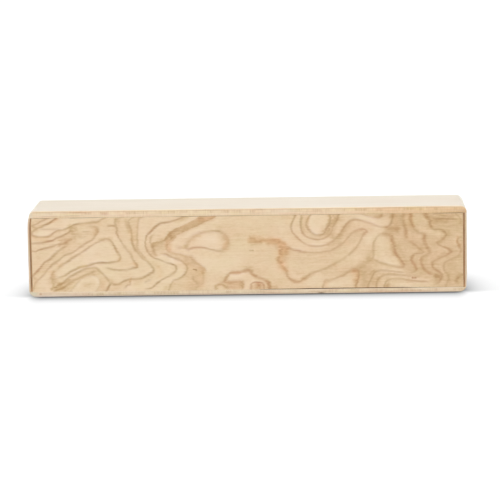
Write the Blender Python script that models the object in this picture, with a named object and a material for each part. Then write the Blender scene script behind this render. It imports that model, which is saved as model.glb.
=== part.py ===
"""Oblong wooden box shaker: four glued plywood boards form a closed loop with
rounded ends, two thin figured panels close it front and back, and loose steel
shot runs between the two panels when the box is shaken.

Frame: metres, +Z up, +X along the length, -Y towards the figured front panel.
The origin is at the middle of the underside, on the surface the box rests on.
"""

import math

import bmesh
import bpy
from mathutils import Matrix, Vector

MM = 0.001

# Overall size
LENGTH = 250.0 * MM  # along X
DEPTH = 49.5 * MM  # along Y, rim to rim
HEIGHT = 49.5 * MM  # along Z

# Boards of the loop
TOP_T = 3.8 * MM  # top board
BOTTOM_T = 3.0 * MM  # bottom board
END_T = 5.0 * MM  # end boards, full thickness
END_LIP = 1.3 * MM  # what is left of an end board beside a panel
CORNER_R = 4.7 * MM  # outer rounding of the loop at its four corners
CORNER_STEPS = 9  # facets on a long board's share of a rounded corner
END_STEPS = 2  # facets on an end board's share of it
EDGE_BREAK = 0.5 * MM  # sanded edge between the outside and the rims

# Panels let in between the boards, front and back
PANEL_T = 3.0 * MM
PANEL_RECESS = 0.1 * MM  # the face sits this far behind the rim
PANEL_END_GAP = 0.8 * MM  # open joint at the two short edges
PANEL_LONG_GAP = 0.3 * MM  # glue joint at the two long edges

GLUE = 0.3 * MM  # glue line between boards, and under what rests on a board

# Loose shot
SHOT_D = 4.0 * MM
SHOT_COUNT = 48
SHOT_END_ROOM = 1.0 * MM  # between the last shot and an end board
SHOT_SIDE_ROOM = 4.0 * MM  # how near the scatter comes to a panel at rest
GOLDEN = (math.sqrt(5.0) - 1.0) / 2.0

# Derived places
HALF_L, HALF_D = LENGTH / 2, DEPTH / 2
CEILING = HEIGHT - TOP_T
FLOOR = BOTTOM_T
PANEL_FACE = HALF_D - PANEL_RECESS  # |y| of a panel's outer face
PANEL_BACK = PANEL_FACE - PANEL_T  # |y| of a panel's inner face
SHELF = PANEL_BACK - GLUE  # |y| of the rebate's shelf in an end board
CHAMBER_HALF_L = HALF_L - END_T


def clear_scene():
    for obj in list(bpy.data.objects):
        bpy.data.objects.remove(obj, do_unlink=True)


def material(name, colour, roughness, metallic=0.0):
    mat = bpy.data.materials.new(name)
    mat.use_nodes = True
    shader = mat.node_tree.nodes["Principled BSDF"]
    shader.inputs["Base Color"].default_value = (*colour, 1.0)
    shader.inputs["Roughness"].default_value = roughness
    shader.inputs["Metallic"].default_value = metallic
    mat.diffuse_color = (*colour, 1.0)
    return mat


def corner(cx, cz, start, end):
    """Points of one rounded corner of the loop, seen from the front, by angle."""
    return [
        (
            cx + CORNER_R * math.cos(start + (end - start) * i / CORNER_STEPS),
            cz + CORNER_R * math.sin(start + (end - start) * i / CORNER_STEPS),
        )
        for i in range(CORNER_STEPS + 1)
    ]


def loop_x(z):
    """Half length of the rounded loop at height z."""
    over = max(CORNER_R - z, z - (HEIGHT - CORNER_R), 0.0)
    return HALF_L - CORNER_R + math.sqrt(CORNER_R**2 - over**2)


def extruded(name, outline, low_y, high_y, mat, broken=None, parent=None):
    """A board from an XZ outline, swept along Y. broken(point) picks the outer
    points whose rim edges are sanded round."""
    mesh = bpy.data.meshes.new(name)
    bm = bmesh.new()
    verts = [bm.verts.new((x, low_y, z)) for x, z in outline]
    face = bm.faces.new(verts)
    swept = bmesh.ops.extrude_face_region(bm, geom=[face])
    moved = [v for v in swept["geom"] if isinstance(v, bmesh.types.BMVert)]
    bmesh.ops.translate(bm, verts=moved, vec=(0.0, high_y - low_y, 0.0))
    bmesh.ops.recalc_face_normals(bm, faces=bm.faces)
    if broken:
        rim = [
            e
            for e in bm.edges
            if abs(e.verts[0].co.y - e.verts[1].co.y) < 1e-7
            and all(broken(v.co) for v in e.verts)
        ]
        bmesh.ops.bevel(
            bm,
            geom=rim,
            offset=EDGE_BREAK,
            offset_type="OFFSET",
            segments=2,
            profile=0.5,
            affect="EDGES",
            clamp_overlap=True,
        )
        bmesh.ops.recalc_face_normals(bm, faces=bm.faces)
    bm.to_mesh(mesh)
    bm.free()
    mesh.materials.append(mat)
    mesh.shade_smooth()
    mesh.set_sharp_from_angle(angle=math.radians(35))
    obj = bpy.data.objects.new(name, mesh)
    bpy.context.scene.collection.objects.link(obj)
    obj.parent = parent
    return obj


def long_board(name, top, mat, parent):
    """The top or bottom board: full length and depth, its outer ends rounded."""
    seam = CEILING if top else FLOOR
    flip = math.asin((CORNER_R - (TOP_T if top else BOTTOM_T)) / CORNER_R)
    if top:
        right = corner(HALF_L - CORNER_R, HEIGHT - CORNER_R, flip, math.pi / 2)
        left = corner(-HALF_L + CORNER_R, HEIGHT - CORNER_R, math.pi / 2, math.pi - flip)
        outline = right + left
    else:
        left = corner(-HALF_L + CORNER_R, CORNER_R, math.pi + flip, 1.5 * math.pi)
        right = corner(HALF_L - CORNER_R, CORNER_R, 1.5 * math.pi, 2 * math.pi - flip)
        outline = left + right
    return extruded(
        name,
        outline,
        -HALF_D,
        HALF_D,
        mat,
        broken=lambda p: abs(p.z - seam) > 1e-6,
        parent=parent,
    )


def end_board(name, side, mat, parent):
    """An end board between the long boards, rebated front and back for the
    panels' ends. side is -1 at the left and +1 at the right."""
    low, high = FLOOR + GLUE, CEILING - GLUE
    foot, head = CORNER_R, HEIGHT - CORNER_R  # where the rounded corners begin
    levels = [low + (foot - low) * i / END_STEPS for i in range(END_STEPS + 1)]
    levels += [head + (high - head) * i / END_STEPS for i in range(END_STEPS + 1)]
    outer = [(loop_x(z), z) for z in levels]
    inner = HALF_L - END_T
    outline = [(side * x, z) for x, z in outer] + [(side * inner, high), (side * inner, low)]
    board = extruded(
        name,
        outline,
        -HALF_D,
        HALF_D,
        mat,
        broken=lambda p: abs(p.x) > inner + 1e-6,
        parent=parent,
    )
    for face, sign in (("front", -1.0), ("back", 1.0)):
        cut = bpy.data.meshes.new(f"{name}_{face}_rebate")
        bm = bmesh.new()
        bmesh.ops.create_cube(bm, size=1.0)
        reach, wide = 4.0 * MM, END_T - END_LIP
        low_x = inner - reach
        size = (wide + reach, HALF_D - SHELF + reach, HEIGHT)
        centre = (
            side * (low_x + size[0] / 2),
            sign * (SHELF + size[1] / 2),
            HEIGHT / 2,
        )
        bm.transform(Matrix.Translation(Vector(centre)) @ Matrix.Diagonal((*size, 1.0)))
        bm.to_mesh(cut)
        bm.free()
        cutter = bpy.data.objects.new(cut.name, cut)
        bpy.context.scene.collection.objects.link(cutter)
        cutter.hide_render = True
        cutter.display_type = "WIRE"
        cutter.parent = parent
        boolean = board.modifiers.new(f"{face}_rebate", "BOOLEAN")
        boolean.operation = "DIFFERENCE"
        boolean.solver = "EXACT"
        boolean.object = cutter
    return board


def panel(name, sign, mat, parent):
    """A thin panel let in flush between the boards. sign is -1 at the front."""
    half = HALF_L - END_LIP - PANEL_END_GAP
    low, high = FLOOR + PANEL_LONG_GAP, CEILING - PANEL_LONG_GAP
    outline = [(-half, low), (half, low), (half, high), (-half, high)]
    near, far = sorted((sign * PANEL_BACK, sign * PANEL_FACE))
    return extruded(name, outline, near, far, mat, parent=parent)


def shot_places():
    """Where each shot lies at rest: one to each lane across the chamber, and
    spread between the panels by golden-section steps, as shaken shot settles."""
    room = 2 * (CHAMBER_HALF_L - SHOT_END_ROOM)
    pitch = room / SHOT_COUNT
    spread = 2 * (PANEL_BACK - SHOT_SIDE_ROOM - SHOT_D / 2)
    places = []
    for i in range(SHOT_COUNT):
        x = -room / 2 + (i + 0.5) * pitch
        y = ((0.31 + i * GOLDEN) % 1.0 - 0.5) * spread
        places.append((x, y, FLOOR + GLUE + SHOT_D / 2))
    return places


def shot(mat, parent):
    mesh = bpy.data.meshes.new("shot")
    bm = bmesh.new()
    bmesh.ops.create_icosphere(bm, subdivisions=2, radius=SHOT_D / 2)
    bm.to_mesh(mesh)
    bm.free()
    mesh.shade_smooth()
    mesh.materials.append(mat)
    for i, place in enumerate(shot_places(), 1):
        obj = bpy.data.objects.new(f"shot_{i:02d}", mesh)
        bpy.context.scene.collection.objects.link(obj)
        obj.location = place
        obj.parent = parent


def main():
    clear_scene()
    shaker = bpy.data.objects.new("shaker", None)
    bpy.context.scene.collection.objects.link(shaker)
    ply = material("pale_plywood", (0.80, 0.66, 0.47), 0.5)
    ash = material("figured_ash", (0.74, 0.55, 0.34), 0.45)
    plain_ash = material("plain_ash", (0.76, 0.58, 0.38), 0.45)
    steel = material("steel_shot", (0.62, 0.62, 0.63), 0.3, 1.0)
    long_board("top_board", True, ply, shaker)
    long_board("bottom_board", False, ply, shaker)
    end_board("left_end_board", -1, ply, shaker)
    end_board("right_end_board", 1, ply, shaker)
    panel("front_panel", -1.0, ash, shaker)
    panel("back_panel", 1.0, plain_ash, shaker)
    shot(steel, shaker)


main()
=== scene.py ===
import math

import bmesh
import bpy
import numpy as np
from mathutils import Matrix, Vector


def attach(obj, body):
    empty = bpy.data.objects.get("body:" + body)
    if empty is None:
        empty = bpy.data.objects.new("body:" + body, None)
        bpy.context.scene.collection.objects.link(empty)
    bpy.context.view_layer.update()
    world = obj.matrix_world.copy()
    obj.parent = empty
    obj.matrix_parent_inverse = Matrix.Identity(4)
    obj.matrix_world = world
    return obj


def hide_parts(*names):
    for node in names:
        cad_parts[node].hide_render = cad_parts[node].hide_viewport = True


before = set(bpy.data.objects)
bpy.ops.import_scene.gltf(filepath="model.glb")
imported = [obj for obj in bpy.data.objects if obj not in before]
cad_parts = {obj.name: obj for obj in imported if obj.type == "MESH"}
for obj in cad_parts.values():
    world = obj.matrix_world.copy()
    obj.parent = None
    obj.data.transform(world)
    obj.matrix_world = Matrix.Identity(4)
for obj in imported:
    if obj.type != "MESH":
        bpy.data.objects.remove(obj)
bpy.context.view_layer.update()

MM = 0.001

# The box, in millimetres, in the CAD frame: origin under its middle, front at -Y
LENGTH, DEPTH, HEIGHT = 250.0, 49.5, 49.5
TOP_T, BOTTOM_T, END_T = 4.05, 2.75, 5.0
END_LIP, CORNER_R = 1.1, 4.7
PANEL_T, PANEL_RECESS, PANEL_END_GAP = 3.0, 0.1, 1.02
GLUE = 0.3
EDGE = 0.5  # rounding between the outside and the rims
SHOT_R, SHOT_COUNT, SHOT_Z = 2.0, 48, 5.3
CORNERS = {(-1, True): 4.2, (1, True): 3.7, (-1, False): 4.0, (1, False): 4.6}  # (end, at the top): sanded by hand
HALF_L, HALF_D = LENGTH / 2, DEPTH / 2
CEILING, FLOOR = HEIGHT - TOP_T, BOTTOM_T
PANEL_FACE = HALF_D - 0.5 * PANEL_RECESS
PANEL_BACK = HALF_D - PANEL_RECESS - PANEL_T
SHELF = PANEL_BACK - GLUE
PANEL_HALF = HALF_L - END_LIP - PANEL_END_GAP


# ---------------------------------------------------------------- small helpers

def lin(r, g, b, gain=1.0):
    """Scene-linear colour from 8-bit display values."""
    def one(v):
        v = v / 255.0
        return v / 12.92 if v <= 0.04045 else ((v + 0.055) / 1.055) ** 2.4
    return (one(r) * gain, one(g) * gain, one(b) * gain, 1.0)


def add_object(name, mesh):
    obj = bpy.data.objects.new(name, mesh)
    bpy.context.scene.collection.objects.link(obj)
    obj.visible_diffuse = False  # the lamps stand for all the light that bounces about
    return obj


class Shader:
    """A node material, written as expressions."""

    def __init__(self, name):
        self.mat = bpy.data.materials.new(name)
        self.mat.use_nodes = True
        self.tree = self.mat.node_tree
        self.bsdf = self.tree.nodes["Principled BSDF"]
        self.coords = self.tree.nodes.new("ShaderNodeTexCoord").outputs["Object"]
        self.mm = self.vec("SCALE", self.coords, scale=1000.0)
        parts = self.tree.nodes.new("ShaderNodeSeparateXYZ")
        self.tree.links.new(self.mm, parts.inputs[0])
        self.x, self.y, self.z = parts.outputs

    def put(self, socket, value):
        if isinstance(value, bpy.types.NodeSocket):
            self.tree.links.new(value, socket)
        else:
            socket.default_value = value

    def vec(self, op, a, b=None, scale=None):
        node = self.tree.nodes.new("ShaderNodeVectorMath")
        node.operation = op
        self.put(node.inputs[0], a)
        if b is not None:
            self.put(node.inputs[1], b)
        if scale is not None:
            self.put(node.inputs["Scale"], scale)
        return node.outputs[0]

    def math(self, op, a, b=None, c=None, clamp=False):
        node = self.tree.nodes.new("ShaderNodeMath")
        node.operation = op
        node.use_clamp = clamp
        for i, v in enumerate((a, b, c)):
            if v is not None:
                self.put(node.inputs[i], v)
        return node.outputs[0]

    def add(self, *values):
        total = values[0]
        for v in values[1:]:
            total = self.math("ADD", total, v)
        return total

    def sub(self, a, b):
        return self.math("SUBTRACT", a, b)

    def mul(self, *values):
        total = values[0]
        for v in values[1:]:
            total = self.math("MULTIPLY", total, v)
        return total

    def clamp(self, a):
        return self.math("ADD", a, 0.0, clamp=True)

    def combine(self, x, y, z):
        node = self.tree.nodes.new("ShaderNodeCombineXYZ")
        for i, v in enumerate((x, y, z)):
            self.put(node.inputs[i], v)
        return node.outputs[0]

    def noise(self, at, detail=2.0, rough=0.5, distortion=0.0, scale=1.0):
        node = self.tree.nodes.new("ShaderNodeTexNoise")
        node.noise_dimensions = "3D"
        self.put(node.inputs["Vector"], at)
        node.inputs["Scale"].default_value = scale
        node.inputs["Detail"].default_value = detail
        node.inputs["Roughness"].default_value = rough
        node.inputs["Distortion"].default_value = distortion
        return node.outputs["Fac"]

    def ramp(self, fac, stops, ease="LINEAR"):
        node = self.tree.nodes.new("ShaderNodeValToRGB")
        node.color_ramp.interpolation = ease
        els = node.color_ramp.elements
        while len(els) < len(stops):
            els.new(0.5)
        for el, (pos, col) in zip(els, stops):
            el.position = pos
            el.color = col if not isinstance(col, (int, float)) else (col, col, col, 1.0)
        self.put(node.inputs["Fac"], fac)
        return node.outputs["Color"]

    def step(self, value, low, high):
        """0 below low, 1 above high, eased between."""
        node = self.tree.nodes.new("ShaderNodeMapRange")
        node.interpolation_type = "SMOOTHSTEP"
        self.put(node.inputs["Value"], value)
        self.put(node.inputs["From Min"], low)
        self.put(node.inputs["From Max"], high)
        return node.outputs["Result"]

    def mix(self, fac, a, b, blend="MIX"):
        node = self.tree.nodes.new("ShaderNodeMix")
        node.data_type = "RGBA"
        node.blend_type = blend
        node.clamp_factor = True
        self.put(node.inputs[0], fac)
        self.put(node.inputs[6], a)
        self.put(node.inputs[7], b)
        return node.outputs[2]

    def attribute(self, name):
        node = self.tree.nodes.new("ShaderNodeAttribute")
        node.attribute_name = name
        return node.outputs["Fac"]

    def bump(self, height, strength, distance_mm, chain=None):
        node = self.tree.nodes.new("ShaderNodeBump")
        node.inputs["Strength"].default_value = strength
        node.inputs["Distance"].default_value = distance_mm * MM
        self.put(node.inputs["Height"], height)
        if chain is not None:
            self.put(node.inputs["Normal"], chain)
        return node.outputs["Normal"]

    def done(self, colour, rough, normal=None, specular=0.35, **more):
        self.put(self.bsdf.inputs["Base Color"], colour)
        self.put(self.bsdf.inputs["Roughness"], rough)
        self.put(self.bsdf.inputs["Specular IOR Level"], specular)
        if normal is not None:
            self.put(self.bsdf.inputs["Normal"], normal)
        for key, value in more.items():
            self.put(self.bsdf.inputs[key], value)
        return self.mat


# ---------------------------------------------------------------- wood figure
#
# The figure of a panel is drawn as growth-ring lines: paths in millimetres (x from
# the middle, z from the underside), how dark the line is, how wide, and how dark
# the wood runs on its left and on its right, going along it.

RINGS = [
    # left end
    ([(-122.8, 41.1), (-120.3, 41.9), (-119.2, 42.5), (-117.4, 43.6), (-115.3, 44.4), (-113.0, 45.6)], 0.75, 0.45, 0.36, 0.30),
    ([(-122.8, 37.5), (-121.2, 38.4), (-119.5, 39.4), (-117.4, 40.4), (-114.9, 41.6), (-112.2, 42.8), (-110.2, 44.1), (-107.6, 45.7)], 0.85, 0.50, 0.38, 0.20),
    ([(-119.0, 39.2), (-114.0, 39.1), (-109.0, 39.0), (-104.5, 39.0)], 0.35, 0.40, 0.12, 0.16),
    ([(-122.4, 37.0), (-122.2, 35.9), (-120.8, 35.2), (-118.5, 34.8), (-115.3, 34.8), (-113.0, 35.1), (-111.4, 36.0), (-110.0, 37.1), (-108.4, 38.1), (-106.6, 38.6), (-103.9, 38.9), (-101.6, 39.8), (-99.6, 41.0), (-97.4, 41.7), (-93.9, 42.2), (-90.3, 42.6), (-87.1, 42.9), (-84.8, 43.2), (-82.8, 44.2), (-80.8, 45.2), (-79.4, 45.8)], 0.70, 0.48, 0.05, 0.48),
    ([(-122.8, 31.1), (-119.6, 31.3), (-116.7, 31.5), (-114.2, 32.0), (-110.8, 32.6), (-108.8, 33.8), (-106.7, 34.5), (-104.4, 35.5), (-102.4, 36.5), (-101.0, 37.5), (-100.5, 38.8), (-100.6, 40.2)], 0.85, 0.48, 0.32, 0.41),
    ([(-122.8, 26.8), (-120.6, 26.5), (-118.9, 27.2), (-116.4, 27.9), (-113.5, 28.6), (-110.6, 29.4), (-107.4, 30.4), (-104.6, 31.1), (-102.6, 31.9), (-100.6, 33.0)], 0.75, 0.45, 0.30, 0.40),
    ([(-102.2, 30.1), (-104.6, 28.5), (-106.4, 27.4), (-108.1, 26.1), (-109.9, 24.4), (-111.7, 22.6), (-113.5, 21.2), (-115.6, 20.1), (-117.1, 18.3), (-118.9, 16.2), (-120.6, 14.4), (-122.8, 12.0)], 0.76, 0.50, 0.46, 0.30),
    ([(-91.5, 40.7), (-88.5, 40.6), (-86.0, 40.2), (-84.7, 38.9), (-84.9, 36.9), (-86.2, 35.2), (-87.4, 33.4), (-88.9, 32.2), (-91.0, 31.1), (-93.0, 30.0), (-95.3, 28.4), (-97.4, 26.9), (-99.8, 25.4), (-103.6, 24.1), (-106.5, 22.0), (-109.4, 19.8), (-111.4, 18.5), (-112.8, 16.9), (-114.2, 15.7), (-115.6, 13.6), (-117.8, 11.5), (-119.6, 10.1), (-121.0, 8.4), (-122.1, 5.8), (-122.6, 4.0)], 0.53, 0.48, 0.26, 0.43),
    # the long pale kite
    ([(-109.2, 15.6), (-107.8, 16.3), (-106.5, 17.9), (-104.6, 19.0), (-102.4, 20.3), (-100.3, 22.0), (-97.4, 23.8), (-94.6, 25.4), (-92.1, 27.0), (-89.9, 28.6), (-87.8, 29.9), (-85.6, 31.0), (-83.4, 31.9), (-81.2, 32.8), (-79.5, 33.0), (-78.0, 32.5), (-77.0, 31.3), (-76.1, 29.7), (-75.1, 27.6), (-74.0, 25.5), (-72.8, 24.0), (-72.3, 22.5), (-72.6, 21.1), (-73.6, 20.3), (-76.0, 19.8), (-79.6, 19.4), (-83.1, 19.4), (-86.4, 19.2), (-89.2, 18.5), (-91.7, 17.6), (-93.9, 17.2), (-96.0, 16.8), (-98.1, 15.8), (-100.3, 14.9), (-102.4, 13.5), (-104.6, 12.2), (-106.7, 11.5), (-109.6, 11.0)], 0.69, 0.48, 0.28, 0.10),
    ([(-110.6, 15.4), (-111.3, 13.8), (-111.9, 12.2), (-113.0, 10.4)], 0.46, 0.60, 0.60, 0.38),
    ([(-106.3, 8.1), (-103.9, 9.7), (-101.7, 11.4), (-99.6, 12.6), (-97.4, 13.8), (-95.3, 14.9), (-93.1, 15.8), (-91.0, 16.4), (-88.1, 16.8), (-86.2, 16.5), (-85.2, 15.5), (-83.5, 14.0), (-81.7, 12.2), (-79.9, 10.1), (-78.5, 7.8)], 0.60, 0.50, 0.20, 0.46),
    ([(-106.0, 4.6), (-104.4, 6.0), (-102.8, 7.6), (-101.0, 9.0), (-98.9, 9.9), (-96.4, 10.7), (-93.9, 12.1), (-91.7, 13.0), (-89.9, 13.7), (-87.8, 14.6), (-85.8, 15.3)], 0.41, 0.50, 0.50, 0.60),
    ([(-78.4, 7.8), (-79.3, 5.5), (-80.8, 3.0)], 0.85, 0.50, 0.39, 0.43),
    # the two tall bends
    ([(-70.5, 45.7), (-72.6, 45.0), (-74.3, 44.4), (-74.9, 43.2), (-74.8, 41.8), (-74.4, 40.2), (-73.7, 38.6), (-74.2, 36.9), (-73.6, 35.2), (-72.9, 33.7), (-72.0, 32.0), (-70.8, 30.0), (-69.4, 27.9), (-67.9, 25.8), (-66.5, 24.4), (-65.6, 22.2), (-64.7, 20.4), (-63.5, 18.7), (-62.6, 17.3), (-63.2, 16.5), (-65.4, 16.2), (-68.3, 15.3), (-70.8, 15.1), (-73.3, 15.1), (-76.1, 15.3), (-78.6, 16.0), (-81.6, 16.8)], 0.63, 0.48, 0.35, 0.27),
    ([(-63.8, 45.6), (-65.6, 44.8), (-66.9, 43.6), (-67.2, 42.3), (-66.9, 40.4), (-66.0, 38.3), (-65.6, 35.8), (-65.5, 33.3), (-65.5, 31.1), (-64.9, 29.0), (-64.0, 26.9), (-62.6, 25.1), (-61.1, 23.3), (-59.7, 21.4), (-57.6, 20.1), (-55.8, 18.6), (-54.4, 16.9), (-53.4, 15.2), (-54.0, 13.8), (-55.8, 12.6), (-57.9, 11.4), (-60.4, 10.3), (-63.3, 9.8), (-66.1, 9.9), (-68.6, 9.5), (-70.8, 8.6), (-72.9, 7.4), (-75.1, 6.9), (-77.2, 7.4), (-78.5, 8.0)], 0.61, 0.46, 0.54, 0.30),
    ([(-58.6, 45.7), (-60.6, 44.6), (-61.7, 42.0), (-61.9, 39.0), (-62.2, 36.1), (-62.4, 33.6), (-62.2, 31.1), (-62.4, 28.8), (-61.9, 26.5), (-60.5, 24.9), (-59.4, 23.3), (-57.8, 21.6), (-56.4, 20.3)], 0.38, 0.48, 0.30, 0.57),
    ([(-34.6, 45.7), (-37.6, 44.4), (-40.4, 43.3), (-43.3, 42.5), (-46.1, 42.0), (-49.2, 41.5), (-51.1, 40.4), (-52.6, 39.0), (-54.0, 37.6), (-55.4, 36.1), (-56.6, 35.2), (-57.4, 33.6), (-57.8, 31.1), (-57.8, 28.6), (-57.0, 26.4), (-55.8, 24.4), (-54.0, 22.5), (-52.2, 21.5), (-50.1, 20.8), (-47.6, 19.7), (-45.1, 18.8), (-42.9, 18.2), (-41.1, 17.1), (-40.4, 15.4), (-41.4, 13.6), (-43.6, 12.0), (-46.1, 10.6), (-48.3, 9.5), (-50.8, 7.9), (-52.6, 6.3), (-54.0, 5.0), (-56.1, 4.2), (-58.4, 4.0)], 0.73, 0.46, 0.22, 0.26),
    ([(-53.2, 35.6), (-54.4, 34.2), (-55.1, 32.6), (-54.8, 30.4), (-53.9, 28.0), (-53.3, 26.1), (-52.6, 24.4), (-51.9, 22.6)], 0.54, 0.50, 0.54, 0.42),
    ([(-39.5, 34.4), (-41.9, 31.9), (-44.2, 30.2), (-45.2, 28.4), (-45.2, 26.4), (-43.6, 25.4), (-41.0, 24.5), (-38.4, 24.0), (-34.9, 22.8), (-31.8, 22.2), (-30.9, 20.8), (-29.1, 19.4), (-27.4, 17.9), (-25.6, 16.5), (-23.8, 15.2), (-23.0, 13.9)], 0.27, 0.60, 0.24, 0.59),
    ([(-49.7, 24.0), (-46.5, 23.9), (-44.4, 22.8), (-41.1, 21.5), (-38.2, 20.3), (-36.3, 18.8), (-34.7, 17.0), (-34.5, 15.0), (-35.4, 12.8), (-37.2, 11.0), (-39.6, 9.6), (-42.4, 8.6), (-43.8, 6.6), (-44.6, 4.6), (-45.0, 3.0)], 0.63, 0.50, 0.48, 0.09),
    ([(-67.0, 9.9), (-67.0, 6.9), (-68.6, 6.3), (-70.4, 4.7)], 0.66, 0.45, 0.18, 0.40),
    ([(-59.0, 7.6), (-56.9, 8.6), (-54.7, 9.4)], 0.45, 0.45, 0.24, 0.14),
    # the pale teardrop
    ([(-35.8, 27.6), (-34.6, 29.4), (-33.2, 31.2), (-31.5, 33.0), (-29.4, 34.6), (-27.0, 35.6)], 0.34, 0.80, 0.28, 0.38),
    ([(-27.0, 35.6), (-23.5, 36.4), (-20.0, 36.7), (-17.0, 36.7), (-14.9, 36.4)], 0.62, 0.50, 0.38, 0.20),
    ([(-14.9, 36.4), (-13.0, 35.0), (-11.6, 33.3), (-10.7, 31.0), (-10.9, 28.8), (-12.4, 26.9), (-14.5, 25.7)], 0.36, 0.80, 0.48, 0.34),
    ([(-14.5, 25.7), (-16.4, 25.4), (-20.0, 26.2), (-23.3, 27.1), (-26.7, 27.6), (-30.8, 27.4), (-33.3, 26.6)], 0.69, 0.45, 0.30, 0.20),
    ([(-33.3, 26.6), (-36.0, 27.5), (-39.9, 27.6)], 0.45, 0.70, 0.30, 0.28),
    # the brown band that climbs to the top edge
    ([(-54.5, 30.6), (-51.0, 31.2), (-47.4, 32.0), (-45.6, 34.4), (-43.3, 36.8), (-40.0, 38.7), (-35.0, 40.8), (-30.8, 43.0), (-27.1, 45.1), (-25.4, 46.0)], 0.12, 0.60, 0.23, 0.68),
    ([(-45.0, 30.4), (-43.4, 31.6), (-42.0, 33.0), (-40.0, 34.5), (-36.7, 36.0), (-34.2, 37.2), (-30.8, 38.7), (-28.3, 39.7), (-25.4, 41.2), (-21.3, 43.0), (-18.0, 44.5), (-16.8, 46.0)], 0.16, 0.60, 0.70, 0.26),
    # the pale dome at the foot, left
    ([(-101.2, 3.2), (-98.6, 6.1), (-96.8, 8.3), (-94.9, 10.2), (-92.5, 11.7), (-89.6, 12.3), (-87.0, 11.7), (-85.2, 10.2), (-84.5, 8.0), (-85.3, 5.6), (-87.0, 3.2)], 0.20, 0.60, 0.43, 0.12),
    # short lines in the mottled part left of the kite
    ([(-94.2, 37.6), (-91.4, 37.6), (-88.8, 38.0)], 0.30, 0.40, 0.24, 0.48),
    ([(-96.0, 34.2), (-94.0, 33.8), (-92.2, 34.4)], 0.25, 0.40, 0.50, 0.36),
    ([(-99.8, 41.4), (-98.0, 39.4), (-96.2, 38.4)], 0.00, 0.60, 0.44, 0.58),
    ([(-104.8, 31.4), (-106.4, 30.0), (-108.2, 28.8)], 0.38, 0.60, 0.42, 0.46),
    ([(-23.2, 13.7), (-25.0, 13.0), (-24.9, 11.4), (-25.0, 9.7), (-25.4, 6.8), (-28.0, 5.2), (-29.6, 3.2)], 0.20, 0.55, 0.46, 0.56),
    ([(-31.3, 11.2), (-30.7, 8.7), (-29.2, 7.2), (-28.4, 5.4)], 0.42, 0.50, 0.52, 0.36),
    # the small swirl at the foot
    ([(-19.0, 4.9), (-16.3, 6.2), (-13.4, 7.6), (-12.2, 9.2), (-11.5, 10.8), (-10.2, 12.2), (-8.4, 12.8), (-5.6, 12.8), (-3.2, 13.2), (-1.0, 14.0), (0.6, 14.0), (1.9, 12.6), (3.4, 11.4), (4.8, 10.4), (7.6, 9.2), (9.6, 8.3), (11.3, 7.1), (12.2, 5.6), (12.4, 3.0)], 0.59, 0.62, 0.40, 0.36),
    ([(-13.2, 7.6), (-9.9, 7.4), (-7.7, 7.8), (-4.3, 7.9), (-2.5, 7.0), (-2.0, 5.4), (-2.8, 3.4)], 0.50, 0.60, 0.14, 0.54),
    ([(-18.9, 5.0), (-18.0, 3.2)], 0.45, 0.55, 0.35, 0.30),
    ([(-17.8, 5.6), (-14.9, 6.0), (-13.0, 4.8), (-10.5, 4.4), (-6.0, 4.4)], 0.45, 0.55, 0.45, 0.35),
    ([(1.9, 3.0), (2.2, 5.8), (3.8, 6.9), (6.2, 7.0), (8.6, 6.2), (9.4, 4.6), (9.4, 3.0)], 0.75, 0.50, 0.30, 0.42),
    ([(4.6, 3.0), (4.8, 5.6), (6.0, 6.2), (7.2, 5.6), (7.4, 3.2)], 0.35, 0.50, 0.55, 0.68),
    # the open middle and the concentric rings
    ([(1.5, 33.2), (8.0, 32.6), (14.0, 31.9), (18.8, 31.5)], 0.00, 0.40, 0.34, 0.56),
    ([(21.6, 13.6), (22.4, 12.4), (22.7, 10.6), (24.2, 8.6), (26.1, 7.3), (28.0, 6.7), (29.9, 6.9), (31.8, 8.2), (33.9, 9.4), (36.1, 11.0), (38.6, 12.2), (41.8, 13.1), (45.0, 14.4), (47.5, 15.8), (49.9, 16.7), (52.6, 18.3), (55.6, 20.2), (57.9, 21.9)], 0.42, 0.55, 0.50, 0.42),
    ([(22.6, 27.7), (24.6, 26.2), (26.5, 25.2), (28.6, 24.9), (30.7, 24.4), (32.9, 23.9), (35.7, 23.6), (38.6, 23.5), (41.8, 23.6), (44.6, 24.1), (47.5, 24.6), (50.2, 25.8), (52.4, 27.4), (54.1, 28.3), (55.9, 30.1), (57.7, 32.2), (59.9, 34.4), (62.0, 35.8), (64.9, 36.6), (67.0, 36.3), (68.4, 35.3), (67.4, 34.7), (66.3, 33.3), (65.2, 31.1), (64.1, 29.0), (62.7, 26.9), (61.3, 24.9), (59.5, 23.3), (57.9, 21.9)], 0.64, 0.50, 0.42, 0.51),
    ([(28.0, 45.7), (27.1, 43.3), (26.1, 41.5), (25.4, 39.4), (25.4, 37.2), (26.2, 35.3), (27.9, 33.3), (29.7, 31.4), (31.8, 29.6), (34.3, 28.1), (37.1, 27.4), (40.4, 27.1), (43.2, 27.5), (46.1, 28.5), (48.2, 29.6), (50.1, 31.0), (51.4, 32.6), (53.1, 34.7), (54.5, 36.5), (55.9, 38.6), (57.4, 40.4), (59.2, 41.7), (62.0, 42.3), (64.9, 41.7), (67.7, 40.8), (70.6, 39.9), (73.4, 38.8), (75.9, 37.9), (78.4, 37.6), (80.6, 38.2), (82.0, 39.8), (82.7, 42.2), (83.0, 45.7)], 0.58, 0.46, 0.31, 0.44),
    ([(31.5, 45.7), (30.9, 42.0), (30.7, 39.4), (31.1, 36.9), (32.1, 34.5), (33.9, 32.7), (36.8, 31.5), (40.4, 31.0), (43.6, 31.5), (46.0, 32.7), (47.6, 34.2), (48.7, 36.5), (49.2, 38.4), (50.5, 40.4), (51.6, 42.6), (52.4, 45.7)], 0.68, 0.46, 0.48, 0.36),
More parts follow.
